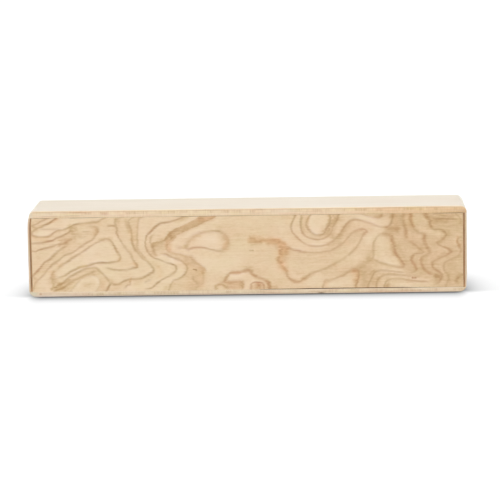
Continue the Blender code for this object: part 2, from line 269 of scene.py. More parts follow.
    ([(36.6, 45.7), (35.2, 43.3), (34.4, 41.5), (34.1, 39.4), (35.1, 37.2), (36.6, 35.4), (38.4, 34.1), (40.4, 33.6), (42.8, 34.0), (44.3, 35.4), (45.7, 37.9), (47.0, 40.4), (47.6, 42.9), (47.2, 45.7)], 0.61, 0.50, 0.20, 0.49),
    ([(57.2, 32.6), (59.6, 34.8), (61.8, 35.5), (64.6, 35.9), (66.8, 35.9)], 0.25, 0.40, 0.54, 0.66),
    # right of the rings
    ([(42.8, 3.2), (43.7, 5.8), (44.6, 7.2), (46.6, 7.1), (49.1, 7.9), (52.0, 9.2), (54.9, 10.1), (57.4, 11.9), (59.7, 13.2), (61.8, 13.5), (63.3, 12.4), (63.4, 10.0), (62.6, 7.0), (61.7, 3.2)], 0.54, 0.50, 0.54, 0.44),
    ([(64.4, 45.7), (67.7, 44.5), (70.6, 43.7), (73.4, 43.2), (75.4, 43.0), (76.8, 43.7), (77.3, 45.7)], 0.56, 0.46, 0.54, 0.20),
    ([(71.6, 19.6), (72.0, 21.9), (72.0, 24.4), (72.0, 26.9), (72.4, 29.2), (73.7, 31.5), (75.4, 33.0), (78.1, 33.9), (80.4, 33.4), (81.6, 31.5), (82.6, 29.0), (83.6, 26.9), (84.0, 24.4), (84.8, 21.9), (86.3, 19.7), (88.0, 17.6), (89.3, 15.6), (88.1, 14.6), (84.9, 14.7), (81.3, 15.5), (77.7, 16.7), (74.3, 17.9), (71.6, 19.6)], 0.59, 0.50, 0.52, 0.40),
    ([(68.5, 3.2), (69.4, 5.7), (70.6, 8.0), (71.7, 10.4), (73.2, 12.0), (76.0, 12.8), (79.5, 12.5), (83.0, 12.0), (87.0, 11.6), (90.5, 11.2)], 0.62, 0.50, 0.56, 0.45),
    ([(73.4, 3.2), (73.8, 6.1), (75.2, 8.3), (77.0, 9.5), (79.5, 10.1), (83.0, 10.2), (88.4, 9.8), (94.0, 9.2), (99.0, 8.9)], 0.66, 0.48, 0.52, 0.34),
    ([(78.0, 3.2), (78.5, 5.4), (79.9, 6.9), (82.7, 7.5), (88.4, 7.6), (93.0, 6.9), (98.0, 6.4), (104.0, 5.9)], 0.63, 0.48, 0.49, 0.39),
    ([(89.4, 45.7), (88.1, 43.4), (88.0, 41.8), (88.8, 40.2), (89.7, 38.0), (90.2, 34.8), (90.6, 31.0)], 0.37, 0.85, 0.66, 0.70),
    ([(91.6, 30.3), (94.3, 28.6), (96.1, 26.9), (98.2, 25.1), (100.2, 23.4), (99.4, 22.2), (96.8, 22.2), (94.6, 21.4), (93.3, 19.4), (94.0, 17.2), (95.4, 15.4), (96.4, 13.3), (95.4, 11.9), (93.0, 11.1)], 0.48, 0.48, 0.62, 0.74),
    ([(93.7, 45.7), (93.0, 42.6), (93.4, 40.1), (94.6, 37.9), (96.1, 35.8), (97.7, 34.3), (99.8, 33.7), (101.2, 32.8), (100.9, 31.1), (100.7, 28.6), (101.8, 26.9), (103.6, 24.4), (103.9, 22.6), (102.1, 21.0), (99.6, 20.1), (98.7, 18.6), (98.9, 16.9), (100.0, 14.7), (101.4, 12.3), (103.6, 10.7), (106.0, 10.0)], 0.53, 0.60, 0.60, 0.72),
    ([(100.6, 45.7), (102.1, 43.6), (103.6, 41.5), (104.3, 39.0), (104.7, 37.2), (106.4, 36.0), (109.4, 36.0), (111.8, 35.1), (113.2, 33.3), (112.1, 31.5), (110.4, 30.1), (108.2, 29.0), (108.5, 27.7), (110.7, 26.3), (113.2, 25.3), (115.7, 23.8), (116.4, 23.3), (114.3, 21.9), (111.8, 20.8), (108.6, 19.2), (106.1, 17.9), (104.9, 15.8), (105.7, 14.0), (107.5, 12.6), (109.6, 11.1), (110.7, 9.4), (110.0, 7.6), (108.4, 5.6), (106.5, 4.9)], 0.54, 0.52, 0.72, 0.57),
    ([(121.6, 32.0), (119.7, 29.8), (120.0, 27.0), (121.4, 24.2), (120.4, 21.1), (117.9, 19.7), (114.6, 18.3), (112.2, 16.9), (111.6, 14.7), (112.4, 12.0), (113.9, 10.1), (114.3, 7.6), (113.3, 5.4), (112.8, 3.0)], 0.49, 0.50, 0.75, 0.63),
    ([(123.0, 10.3), (120.4, 9.0), (119.0, 6.6), (120.0, 4.2)], 0.38, 0.55, 0.85, 0.69),
    # short dashes where pores run together
    ([(-78.8, 40.5), (-77.0, 40.6), (-75.0, 40.5)], 0.76, 0.38, 0.36, 0.40),
    ([(-30.8, 15.0), (-29.2, 14.6)], 1.20, 0.32, 0.45, 0.44),
    ([(1.8, 25.4), (3.4, 25.4)], 0.62, 0.32, 0.46, 0.42),
    ([(94.0, 8.5), (95.8, 8.4)], 1.20, 0.36, 0.44, 0.40),
    ([(5.9, 5.5), (6.5, 5.0)], 0.85, 0.40, 0.50, 0.50),
    ([(105.8, 42.6), (109.0, 42.2), (112.5, 42.4), (116.0, 42.0), (119.5, 41.9)], 0.85, 0.45, 0.70, 0.84),
    ([(107.5, 44.4), (111.5, 43.9), (115.0, 43.2), (118.0, 43.4)], 0.70, 0.50, 0.80, 0.84),
    ([(104.8, 45.0), (108.0, 44.8), (111.0, 45.2)], 0.50, 0.50, 0.80, 0.80),
    ([(108.0, 40.4), (112.5, 40.2), (116.0, 39.8)], 0.34, 0.60, 0.76, 0.66),
    ([(106.5, 38.4), (110.0, 38.2), (114.5, 37.6), (118.5, 38.0)], 0.22, 0.60, 0.74, 0.68),
    ([(119.0, 44.6), (120.8, 43.0), (121.6, 41.6)], 0.40, 0.45, 0.66, 0.66),
]

# Patches where a ring lies nearly flat in the surface: path, how dark (pale if below
# zero), half width in millimetres, and how orange (+) or olive (-)
PATCHES = [
    # ragged brown at the foot, left
    ([(-111.6, 10.4), (-111.0, 8.0), (-110.8, 5.8)], 0.30, 0.60, -0.5),
    ([(-112.2, 4.4), (-109.4, 5.8), (-107.0, 7.2)], 0.52, 0.60, -0.4),
    ([(-110.6, 3.6), (-107.2, 4.6), (-104.4, 5.9)], 0.55, 0.60, -0.2),
    ([(-107.0, 7.6), (-104.4, 8.4), (-101.6, 9.9)], 0.34, 0.45, 0.0),
    ([(-105.4, 5.6), (-102.6, 6.9), (-100.2, 8.3)], 0.30, 0.45, 0.1),
    ([(-104.2, 3.6), (-102.8, 4.6)], 0.22, 0.5, 0.0),
    # left end
    ([(-106.2, 32.6), (-103.4, 32.8), (-100.6, 33.2)], 0.52, 0.75, 0.2),
    ([(-106.4, 30.2), (-104.4, 30.8), (-103.0, 31.4)], 0.34, 0.7, 0.1),
    ([(-111.6, 42.8), (-109.4, 43.8), (-107.2, 45.2)], 0.36, 0.6, 0.4),
    ([(-101.0, 41.4), (-98.6, 40.4), (-97.2, 39.0)], 0.38, 0.8, 0.0),
    ([(-98.4, 37.2), (-96.6, 36.0), (-95.2, 35.2)], 0.22, 1.2, 0.0),
    ([(-86.6, 40.0), (-85.6, 38.0), (-86.8, 36.2)], 0.28, 0.7, 0.3),
    ([(-84.0, 32.8), (-80.0, 33.6), (-76.8, 33.4)], 0.26, 0.6, -0.3),
    ([(-96.5, 17.0), (-94.0, 17.5), (-91.8, 17.8)], 0.46, 0.6, -0.8),
    ([(-74.0, 24.6), (-72.6, 22.4), (-73.2, 20.8)], 0.30, 0.7, 0.5),
    ([(-64.6, 18.8), (-62.8, 17.4)], 0.22, 0.7, 0.5),
    ([(-66.8, 10.6), (-66.9, 8.4)], 0.30, 0.4, 0.5),
    # the climbing band
    ([(-53.2, 29.6), (-50.6, 30.6), (-48.0, 31.4)], 0.26, 1.1, -0.3),
    ([(-46.8, 31.9), (-45.4, 33.4), (-43.8, 35.6)], 0.34, 0.9, -0.3),
    ([(-43.4, 36.0), (-40.0, 37.8), (-36.0, 39.6)], 0.20, 0.9, 0.0),
    ([(-36.4, 39.4), (-32.0, 41.2), (-28.6, 43.2), (-26.6, 44.6)], 0.16, 1.0, 0.3),
    ([(-27.0, 42.8), (-23.0, 44.0), (-19.0, 45.2)], 0.10, 0.9, 0.7),
    ([(-43.0, 33.0), (-41.0, 33.6)], 0.22, 0.5, -0.5),
    ([(-40.4, 35.4), (-37.6, 36.4)], -0.14, 0.6, -0.3),
    ([(-51.0, 28.5), (-49.4, 26.4)], 0.12, 1.8, 0.0),
    ([(-45.4, 31.6), (-45.8, 28.4), (-44.6, 26.2)], 0.16, 0.9, 0.6),
    ([(-34.0, 20.0), (-31.5, 17.0), (-30.0, 12.0), (-31.5, 6.5)], 0.16, 3.2, 0.3),
    ([(-26.6, 15.6), (-24.6, 15.0), (-25.6, 13.2)], 0.26, 0.9, 0.5),
    # teardrop
    ([(-28.4, 34.2), (-26.8, 34.2)], 0.24, 0.8, -0.3),
    ([(-35.6, 28.0), (-33.6, 28.4)], 0.36, 0.8, -0.6),
    ([(-34.0, 29.6), (-31.4, 32.0), (-29.6, 33.4)], 0.14, 1.1, 0.2),
    ([(-12.4, 33.6), (-11.2, 31.4), (-11.6, 28.8), (-13.0, 27.4)], 0.14, 1.0, 0.5),
    # the swirl at the foot
    ([(-13.0, 8.2), (-12.0, 9.6), (-11.4, 11.0)], 0.34, 0.7, 0.0),
    ([(-9.6, 12.8), (-7.0, 12.8), (-4.6, 12.6)], 0.24, 0.5, 0.5),
    ([(-12.4, 6.8), (-8.4, 6.6), (-4.6, 6.6)], 0.16, 1.3, 0.3),
    ([(-10.0, 4.2), (-7.0, 4.0), (-4.0, 4.2)], 0.12, 0.7, 0.2),
    ([(-2.8, 7.6), (-2.4, 6.2), (-2.8, 4.4)], 0.34, 0.7, -0.3),
    ([(-1.4, 13.8), (0.6, 14.1), (2.2, 13.5)], 0.40, 0.8, 0.0),
    ([(-0.4, 15.4), (1.4, 15.2)], 0.18, 1.0, -0.2),
    ([(3.0, 11.6), (4.6, 10.6)], 0.24, 0.6, 0.2),
    ([(11.2, 7.0), (12.3, 5.7), (12.6, 4.2)], 0.44, 0.8, -0.3),
    ([(13.6, 4.4), (16.4, 3.8)], 0.18, 0.7, 0.0),
    ([(-17.0, 6.0), (-14.8, 6.2), (-13.2, 5.3)], 0.32, 0.5, -0.6),
    ([(-18.2, 5.2), (-17.8, 3.8)], 0.36, 0.5, -0.6),
    ([(-13.2, 4.6), (-11.0, 4.0)], 0.34, 0.6, -0.2),
    ([(5.0, 6.8), (6.4, 6.4), (6.6, 5.2), (5.8, 4.2)], 0.30, 0.45, 0.7),
    # the ragged strip in the open middle
    ([(2.2, 33.2), (5.4, 33.5), (8.6, 33.2)], 0.20, 0.55, 0.2),
    ([(2.0, 32.0), (4.2, 31.8)], 0.30, 0.70, 0.2),
    ([(1.2, 30.4), (4.0, 30.2), (8.0, 30.4)], 0.40, 0.75, 0.4),
    ([(8.0, 30.8), (12.0, 30.8), (16.0, 30.6)], 0.30, 0.60, 0.5),
    ([(13.8, 31.5), (16.4, 31.5), (18.8, 31.4)], 0.34, 0.36, 0.8),
    ([(3.0, 29.0), (7.6, 29.0)], 0.12, 0.60, 0.0),
    ([(12.0, 29.4), (16.0, 29.2), (18.6, 28.6)], 0.22, 1.0, 0.5),
    ([(17.4, 30.2), (19.6, 29.4), (21.4, 28.8)], 0.34, 0.70, 0.6),
    ([(19.2, 27.4), (21.0, 26.6), (22.8, 25.8)], 0.36, 1.0, 0.8),
    ([(19.4, 25.2), (19.2, 23.6), (19.4, 22.2)], 0.40, 0.90, 0.8),
    ([(21.6, 24.4), (22.6, 23.4)], 0.22, 1.0, 0.6),
    ([(18.4, 21.4), (17.6, 20.2), (18.2, 18.8)], 0.38, 0.75, 0.3),
    ([(16.4, 20.1), (18.6, 20.0)], 0.34, 0.40, 0.2),
    ([(19.2, 18.4), (19.8, 16.8), (20.2, 15.6)], 0.32, 0.70, 0.7),
    ([(20.6, 14.8), (21.8, 13.8), (22.6, 13.0)], 0.32, 0.60, 0.7),
    ([(22.3, 12.4), (22.7, 10.4), (24.2, 8.5), (26.2, 7.3), (29.4, 6.9)], 0.24, 0.6, -0.2),
    ([(31.0, 7.8), (32.6, 9.2), (35.2, 10.6)], 0.34, 0.8, -0.3),
    # rings
    ([(35.2, 43.4), (34.6, 40.4), (35.8, 37.2)], 0.22, 0.7, 0.3),
    ([(50.2, 45.4), (49.4, 42.2), (48.0, 39.4), (46.6, 36.8)], 0.42, 0.8, 0.0),
    ([(47.0, 45.2), (46.8, 42.0), (45.4, 38.6), (43.8, 36.2)], 0.30, 0.6, -0.2),
    ([(31.6, 44.0), (31.3, 40.0), (32.4, 36.6)], 0.16, 0.6, -0.5),
    # right of the rings
    ([(60.6, 12.6), (62.6, 12.4), (63.2, 10.4), (62.8, 8.0)], 0.26, 0.9, 0.6),
    ([(62.4, 6.6), (61.9, 3.6)], 0.40, 0.7, 0.2),
    ([(67.0, 12.0), (66.6, 8.0), (66.6, 4.0)], 0.24, 2.2, 0.0),
    ([(63.6, 14.4), (67.0, 16.8), (70.0, 19.8)], 0.26, 1.6, 0.0),
    ([(69.4, 9.6), (70.6, 11.6), (72.0, 12.6)], 0.26, 0.6, 0.0),
    ([(79.4, 37.2), (82.4, 37.0), (86.0, 37.0)], 0.36, 0.9, 0.2),
    ([(84.0, 45.0), (84.6, 41.0), (85.0, 37.0)], 0.20, 1.6, 0.2),
    ([(81.8, 32.4), (82.9, 29.0), (83.8, 26.0), (84.4, 23.2), (86.4, 19.6), (88.4, 16.4)], 0.36, 1.0, 0.2),
    ([(93.4, 45.4), (93.6, 41.0), (94.8, 38.0)], 0.30, 0.7, 0.6),
    ([(89.0, 44.4), (89.4, 40.6), (90.4, 36.0), (90.6, 32.0)], 0.26, 0.6, 0.3),
    ([(101.2, 45.2), (102.6, 43.0), (104.2, 40.6), (104.8, 38.0)], 0.42, 1.0, 0.2),
    ([(94.4, 20.8), (93.8, 18.6), (95.2, 15.6), (96.0, 13.4)], 0.22, 0.6, 0.4),
    ([(100.8, 33.0), (101.0, 30.0), (102.6, 26.0)], 0.20, 0.6, 0.2),
    ([(99.4, 19.0), (99.2, 16.6), (100.6, 13.6), (103.4, 11.0)], 0.26, 0.6, 0.2),
    ([(105.2, 16.6), (106.0, 14.0), (108.4, 11.8)], 0.26, 0.7, 0.1),
    ([(107.6, 9.8), (109.2, 8.9), (109.6, 7.8)], 0.40, 0.8, 0.0),
    ([(112.2, 34.4), (113.0, 33.0), (111.4, 31.2)], 0.22, 0.7, 0.0),
    ([(112.6, 26.0), (115.6, 24.0), (113.6, 21.8)], 0.18, 0.6, 0.1),
    ([(119.8, 31.6), (119.6, 29.0), (120.6, 26.4)], 0.24, 0.5, 0.7),
    ([(119.2, 8.4), (118.8, 6.2)], 0.30, 0.8, 0.0),
    # paler places
    ([(-88.4, 11.4), (-86.0, 10.4), (-85.4, 8.4)], -0.26, 0.6, 0.0),
    ([(-97.0, 6.0), (-94.6, 9.6)], -0.14, 0.8, 0.0),
    ([(-26.0, 32.6), (-21.0, 32.2), (-17.4, 31.6)], -0.22, 1.8, 0.0),
    ([(-65.6, 5.6), (-61.6, 5.8), (-58.6, 6.4)], -0.20, 1.0, -0.4),
    ([(-9.6, 10.6), (-5.6, 11.0), (-2.4, 12.0)], -0.16, 0.9, 0.0),
    ([(24.6, 14.6), (26.8, 11.2), (29.4, 9.4)], -0.16, 1.2, 0.0),
    ([(-113.6, 37.2), (-118.0, 37.0)], -0.16, 0.9, 0.0),
    ([(-28.0, 21.0), (-20.0, 20.0), (-12.0, 19.0)], -0.10, 3.0, -0.3),
]

# Soft washes of darker (+) or paler (-) wood over it all: path, depth, half width
WASHES = [
    # left end and kite
    ([(-100.4, 39.6), (-99.4, 36.8), (-98.6, 33.8)], 0.19, 0.9),
    ([(-100.6, 32.2), (-103.0, 30.6), (-105.6, 28.0)], 0.16, 0.9),
    ([(-91.4, 40.2), (-87.2, 40.0)], -0.10, 0.9),
    ([(-84.2, 39.6), (-85.6, 36.0), (-86.6, 34.2)], 0.11, 0.8),
    ([(-91.6, 43.4), (-82.0, 44.2)], 0.08, 0.7),
    ([(-121.2, 31.0), (-117.4, 31.0)], -0.15, 0.8),
    ([(-117.2, 28.0), (-114.4, 28.2)], -0.12, 0.8),
    ([(-110.4, 14.4), (-110.6, 11.2), (-110.2, 9.0)], 0.18, 0.9),
    ([(-109.2, 5.4), (-107.0, 7.0), (-105.0, 8.2)], 0.16, 1.1),
    ([(-109.2, 15.6), (-107.0, 17.0), (-105.8, 18.0)], 0.14, 0.8),
    ([(-105.6, 11.8), (-103.8, 12.2)], 0.10, 0.9),
    ([(-116.8, 7.2), (-114.0, 5.0), (-112.6, 3.0)], -0.10, 1.6),
    ([(-100.8, 13.2), (-97.6, 14.4), (-94.2, 15.6)], -0.10, 0.8),
    ([(-94.6, 7.2), (-91.0, 7.0), (-88.0, 7.4)], 0.15, 1.0),
    ([(-96.0, 8.8), (-93.8, 10.6), (-90.6, 12.0), (-87.6, 12.8)], 0.15, 0.8),
    ([(-92.0, 17.2), (-87.4, 18.6), (-81.0, 19.6)], -0.16, 1.1),
    ([(-90.0, 22.0), (-84.0, 25.4), (-79.0, 26.0)], -0.06, 3.0),
    ([(-81.4, 32.2), (-78.4, 31.6), (-76.8, 30.0)], 0.16, 0.9),
    ([(-79.4, 10.0), (-77.8, 8.4)], 0.17, 0.8),
    ([(-77.0, 12.6), (-73.4, 10.6)], -0.10, 1.5),
    ([(-121.8, 42.6), (-121.6, 40.0), (-119.0, 38.4)], 0.14, 0.9),
    ([(-121.6, 10.6), (-121.0, 8.0), (-121.6, 5.2)], 0.14, 0.9),
    ([(-119.2, 23.6), (-118.2, 21.4)], 0.11, 1.0),
    ([(-116.4, 16.6), (-115.0, 15.2)], 0.07, 1.2),
    ([(-95.6, 26.2), (-94.8, 24.2)], 0.09, 1.1),
    ([(-95.2, 35.0), (-94.2, 31.4)], -0.08, 1.2),
    ([(-102.6, 42.2), (-99.4, 41.4), (-97.2, 39.4)], -0.15, 1.2),
    ([(-104.8, 34.8), (-101.6, 36.2), (-99.8, 38.0)], 0.16, 0.9),
    ([(-106.4, 32.8), (-101.0, 33.0)], -0.15, 0.8),
    ([(-104.6, 29.6), (-101.4, 31.2)], 0.13, 0.8),
    ([(-98.0, 34.4), (-97.8, 32.4)], 0.13, 0.9),
    ([(-109.6, 27.2), (-107.0, 28.6), (-105.6, 30.4)], -0.14, 1.0),
    ([(-115.4, 42.0), (-111.8, 43.2), (-109.8, 45.2)], -0.14, 0.9),
    ([(-121.6, 40.4), (-119.6, 38.6)], 0.14, 0.9),
    ([(-86.4, 19.6), (-80.6, 19.4)], -0.16, 0.9),
    ([(-78.0, 17.4), (-71.0, 16.8)], -0.10, 1.3),
    ([(-66.4, 15.6), (-62.8, 15.6)], -0.13, 1.2),
    ([(-100.6, 14.8), (-95.6, 15.0)], -0.11, 1.1),
    ([(-109.6, 12.6), (-109.2, 9.4)], 0.14, 1.0),
    ([(-105.8, 12.4), (-104.2, 12.2)], 0.14, 0.8),
    ([(-107.6, 8.0), (-106.8, 6.4)], 0.15, 1.0),
    ([(-113.2, 8.6), (-112.4, 8.6)], 0.14, 0.7),
    ([(-92.4, 6.4), (-90.6, 7.0)], 0.18, 0.9),
    ([(-88.2, 13.8), (-87.8, 12.8)], 0.13, 0.8),
    ([(-78.6, 9.4), (-77.4, 8.4)], 0.14, 0.8),
    ([(-83.6, 9.4), (-82.8, 7.2)], 0.13, 0.9),
    ([(-79.6, 6.8), (-79.2, 5.8)], -0.13, 0.8),
    # the tall bends and the band
    ([(-68.8, 42.6), (-68.0, 40.4), (-66.8, 37.4)], 0.20, 1.0),
    ([(-79.8, 34.2), (-76.0, 34.0)], -0.14, 0.8),
    ([(-78.2, 31.6), (-77.2, 29.8)], 0.15, 0.8),
    ([(-74.2, 43.8), (-72.8, 43.0)], 0.14, 0.9),
    ([(-53.6, 28.0), (-53.2, 25.4)], 0.24, 0.8),
    ([(-43.9, 30.2), (-43.7, 27.0)], 0.18, 0.8),
    ([(-42.2, 32.4), (-40.6, 33.4)], 0.15, 0.8),
    ([(-45.6, 4.6), (-43.8, 7.4)], 0.14, 1.0),
    ([(-40.8, 42.2), (-37.6, 43.2), (-34.2, 44.6)], 0.12, 0.8),
    ([(-27.0, 43.4), (-24.4, 45.4)], 0.16, 0.8),
    ([(-23.0, 43.6), (-20.4, 45.0)], -0.20, 0.8),
    ([(-33.0, 41.2), (-32.0, 39.4)], -0.13, 0.9),
    ([(-29.2, 36.2), (-26.8, 36.6)], -0.12, 0.8),
    ([(-42.2, 21.2), (-38.2, 20.0)], -0.16, 1.1),
    ([(-33.8, 26.0), (-33.0, 21.6)], -0.11, 1.5),
    ([(-74.6, 44.0), (-73.4, 42.0)], 0.15, 1.0),
    ([(-75.0, 39.4), (-73.6, 37.2)], 0.11, 1.2),
    ([(-68.6, 44.0), (-67.8, 41.0), (-66.6, 37.6)], 0.19, 0.9),
    ([(-71.2, 31.0), (-69.6, 27.6)], 0.09, 1.0),
    ([(-66.6, 26.0), (-66.0, 23.4)], 0.09, 1.0),
    ([(-66.0, 16.2), (-63.2, 16.2)], -0.06, 0.9),
    ([(-56.4, 13.0), (-53.8, 14.4)], -0.06, 0.9),
    ([(-53.2, 19.0), (-50.4, 16.4), (-48.8, 14.0)], 0.13, 0.9),
    ([(-57.2, 32.4), (-57.0, 28.0), (-55.4, 25.6), (-53.2, 23.2)], 0.20, 1.0),
    ([(-62.0, 26.4), (-58.4, 25.4)], 0.11, 1.4),
    ([(-55.4, 41.0), (-54.2, 38.4)], 0.09, 1.3),
    ([(-49.4, 33.4), (-46.8, 33.2)], 0.10, 0.9),
    ([(-48.4, 25.0), (-45.6, 25.0)], -0.08, 0.9),
    ([(-67.2, 4.0), (-62.0, 4.0), (-59.6, 4.4)], -0.10, 0.9),
    ([(-47.6, 3.6), (-45.6, 5.0)], 0.16, 0.9),
    ([(-43.2, 34.2), (-38.6, 36.0), (-33.4, 38.4), (-29.2, 40.4), (-25.0, 41.8), (-20.4, 43.6)], 0.20, 1.0),
    ([(-38.4, 40.4), (-33.6, 41.8), (-28.4, 44.6)], -0.11, 0.9),
    ([(-37.2, 43.8), (-33.6, 45.0)], 0.18, 0.8),
    ([(-34.2, 34.6), (-29.6, 36.4), (-24.4, 38.4)], -0.13, 1.1),
    ([(-35.2, 16.4), (-35.8, 13.4)], 0.13, 0.8),
    ([(-40.6, 16.0), (-42.2, 12.6)], 0.14, 0.9),
    ([(-31.2, 21.4), (-29.4, 19.4), (-26.8, 18.0)], 0.13, 0.9),
    ([(-44.4, 19.0), (-42.6, 18.8)], -0.14, 0.8),
    ([(-38.4, 23.8), (-35.6, 23.6)], -0.12, 1.0),
    ([(-32.4, 16.0), (-31.0, 14.6)], -0.12, 1.0),
    ([(-34.4, 7.6), (-30.6, 7.2)], -0.11, 1.6),
    # the teardrop and the open middle
    ([(-23.2, 36.0), (-19.8, 36.0)], 0.13, 0.7),
    ([(-15.8, 33.0), (-12.2, 31.2)], 0.12, 1.3),
    ([(2.4, 12.0), (4.8, 10.2)], 0.20, 0.7),
    ([(3.2, 7.6), (5.0, 7.2)], -0.20, 0.9),
    ([(9.2, 9.2), (10.8, 7.8)], -0.12, 0.9),
    ([(9.2, 4.8), (10.6, 3.8)], 0.22, 0.8),
    ([(13.6, 3.2), (16.8, 3.0)], 0.18, 0.6),
    ([(-3.8, 7.2), (-3.8, 5.0)], 0.16, 0.7),
    ([(-17.8, 5.0), (-17.0, 4.4)], 0.14, 0.6),
    ([(18.0, 17.4), (18.4, 15.8)], 0.20, 0.9),
    ([(20.4, 19.6), (21.2, 23.0)], 0.14, 0.9),
    ([(16.0, 27.6), (17.2, 27.2)], 0.16, 0.8),
    ([(20.2, 14.4), (21.0, 13.4)], 0.12, 0.9),
    ([(33.0, 8.0), (35.4, 9.0), (37.6, 10.4)], 0.18, 0.6),
    ([(26.6, 25.8), (31.0, 24.6)], -0.17, 0.9),
    ([(4.0, 31.6), (4.2, 28.8)], 0.08, 1.2),
    ([(12.6, 33.2), (14.8, 32.8)], 0.11, 0.8),
    ([(-16.0, 38.0), (-14.8, 35.4), (-13.4, 32.4)], 0.14, 1.1),
    ([(-12.4, 39.4), (-8.4, 36.6), (-5.2, 34.4)], 0.08, 2.2),
    ([(-27.4, 11.6), (-20.4, 10.6), (-15.4, 10.2)], 0.07, 2.0),
    ([(-8.0, 22.8), (-4.6, 21.0)], -0.08, 2.2),
    ([(-0.6, 17.4), (3.0, 16.6), (5.2, 14.0)], 0.09, 1.6),
    ([(22.6, 26.4), (24.0, 24.6), (22.4, 21.8), (21.6, 19.0)], 0.10, 1.4),
    ([(23.8, 15.0), (26.4, 13.0), (28.6, 10.6)], 0.12, 1.1),
    ([(36.4, 7.6), (42.4, 6.4)], -0.10, 2.2),
    ([(18.6, 39.6), (20.0, 36.4)], -0.10, 2.2),
    ([(23.0, 31.6), (28.0, 28.4), (34.0, 26.6)], -0.10, 1.2),
    # the rings
    ([(35.0, 38.8), (36.4, 36.4), (39.4, 34.4)], -0.18, 0.7),
    ([(31.0, 44.6), (31.0, 39.4)], -0.12, 0.9),
    ([(38.0, 28.0), (41.4, 27.8)], -0.15, 0.8),
    ([(43.0, 37.6), (42.8, 35.8)], 0.20, 1.0),
    ([(53.0, 44.4), (53.6, 42.6)], 0.13, 1.4),
    ([(57.4, 38.6), (55.4, 38.2)], 0.15, 1.5),
    ([(54.2, 35.2), (52.4, 33.4)], 0.14, 1.2),
    ([(46.2, 33.8), (48.6, 32.6)], 0.22, 1.2),
    ([(51.2, 31.8), (49.6, 31.2)], 0.15, 1.1),
    ([(48.8, 29.2), (46.4, 28.2)], 0.18, 1.1),
    ([(53.4, 28.4), (52.6, 26.6)], 0.14, 1.1),
    ([(46.4, 37.4), (47.0, 40.6), (49.2, 43.2)], -0.12, 0.8),
    ([(38.0, 44.0), (37.6, 40.4), (40.0, 37.4), (41.6, 41.0)], -0.13, 1.8),
    ([(52.4, 45.0), (51.4, 41.6), (50.0, 37.6), (48.8, 34.2)], 0.19, 0.9),
    ([(59.6, 41.2), (57.2, 39.2), (54.6, 35.4), (52.4, 32.6)], 0.16, 1.0),
    ([(46.6, 36.8), (45.0, 34.6), (42.4, 33.0)], 0.15, 0.8),
    ([(52.6, 30.6), (50.2, 28.2), (49.6, 25.6)], 0.13, 1.4),
    ([(45.6, 44.6), (48.4, 43.8)], 0.12, 1.0),
    ([(42.6, 13.4), (46.0, 14.4), (49.4, 15.8)], 0.11, 0.8),
    ([(47.0, 4.8), (52.0, 5.2), (57.2, 6.8)], -0.14, 1.5),
    ([(54.6, 10.8), (58.0, 12.0), (61.4, 12.6)], 0.13, 0.9),
    # right of the rings
    ([(62.6, 43.0), (69.6, 43.2), (73.0, 40.4)], -0.10, 0.9),
    ([(76.6, 44.4), (82.0, 43.8)], 0.22, 1.2),
    ([(58.4, 24.4), (60.2, 27.4)], -0.13, 0.8),
    ([(66.4, 12.6), (68.2, 11.8)], -0.16, 0.9),
    ([(71.6, 20.8), (73.0, 20.2)], -0.12, 0.8),
    ([(75.6, 18.6), (81.4, 17.0)], -0.12, 0.8),
    ([(75.2, 13.6), (82.6, 12.4), (87.6, 10.8), (90.0, 8.6)], -0.14, 0.8),
    ([(94.2, 8.4), (97.0, 7.0), (102.4, 7.0)], -0.16, 0.8),
    ([(102.6, 10.4), (104.6, 9.4)], -0.14, 0.8),
    ([(84.6, 4.0), (92.0, 4.0)], -0.13, 0.7),
    ([(107.4, 8.2), (107.8, 6.8)], 0.18, 0.7),
    ([(74.6, 7.0), (77.2, 9.4)], 0.20, 0.8),
    ([(79.6, 4.0), (79.8, 2.9)], 0.22, 1.0),
    ([(72.6, 4.6), (73.6, 3.0)], 0.15, 1.2),
    ([(60.8, 7.0), (61.2, 5.4)], 0.17, 0.9),
    ([(44.4, 5.4), (45.4, 6.8)], 0.17, 0.8),
    ([(82.0, 26.4), (83.6, 22.0)], 0.20, 0.8),
    ([(86.2, 26.4), (89.0, 20.4), (91.4, 16.4)], 0.13, 0.9),
    ([(77.8, 33.2), (79.6, 32.8)], 0.16, 0.8),
    ([(95.4, 26.4), (98.8, 26.0)], 0.12, 1.2),
    ([(98.8, 24.2), (100.4, 23.6)], 0.14, 0.8),
    ([(105.0, 17.6), (108.2, 19.4), (112.0, 22.6)], 0.18, 0.8),
    ([(102.6, 38.4), (102.8, 36.8)], 0.15, 0.9),
    ([(106.4, 41.4), (107.8, 40.6)], 0.15, 0.8),
    ([(102.8, 43.4), (104.8, 39.2)], -0.13, 0.7),
    ([(90.0, 41.2), (90.0, 38.8)], -0.14, 0.8),
    ([(119.2, 28.0), (119.8, 31.4)], -0.12, 0.8),
    ([(114.8, 34.4), (114.8, 32.8)], 0.13, 0.8),
    ([(101.0, 31.2), (102.2, 32.6)], 0.12, 0.9),
    ([(114.6, 9.2), (114.6, 7.6)], 0.13, 1.1),
    ([(118.8, 11.2), (120.2, 10.8)], 0.14, 0.7),
    ([(117.4, 24.0), (118.8, 23.6)], 0.12, 0.9),
    ([(121.6, 41.4), (121.6, 39.8)], 0.16, 0.7),
    ([(120.9, 17.0), (120.9, 14.0)], -0.11, 1.2),
    ([(69.6, 41.4), (72.2, 38.8), (74.4, 36.4), (71.4, 33.0), (69.6, 30.6)], -0.15, 1.7),
    ([(68.6, 29.6), (67.0, 25.6), (65.4, 23.0), (62.4, 20.2)], -0.16, 1.9),
    ([(73.2, 44.2), (77.2, 44.0)], 0.17, 1.0),
    ([(82.6, 44.8), (82.2, 42.2), (81.8, 40.2)], 0.20, 0.9),
    ([(78.6, 33.8), (82.4, 34.8), (85.2, 35.2)], 0.18, 1.1),
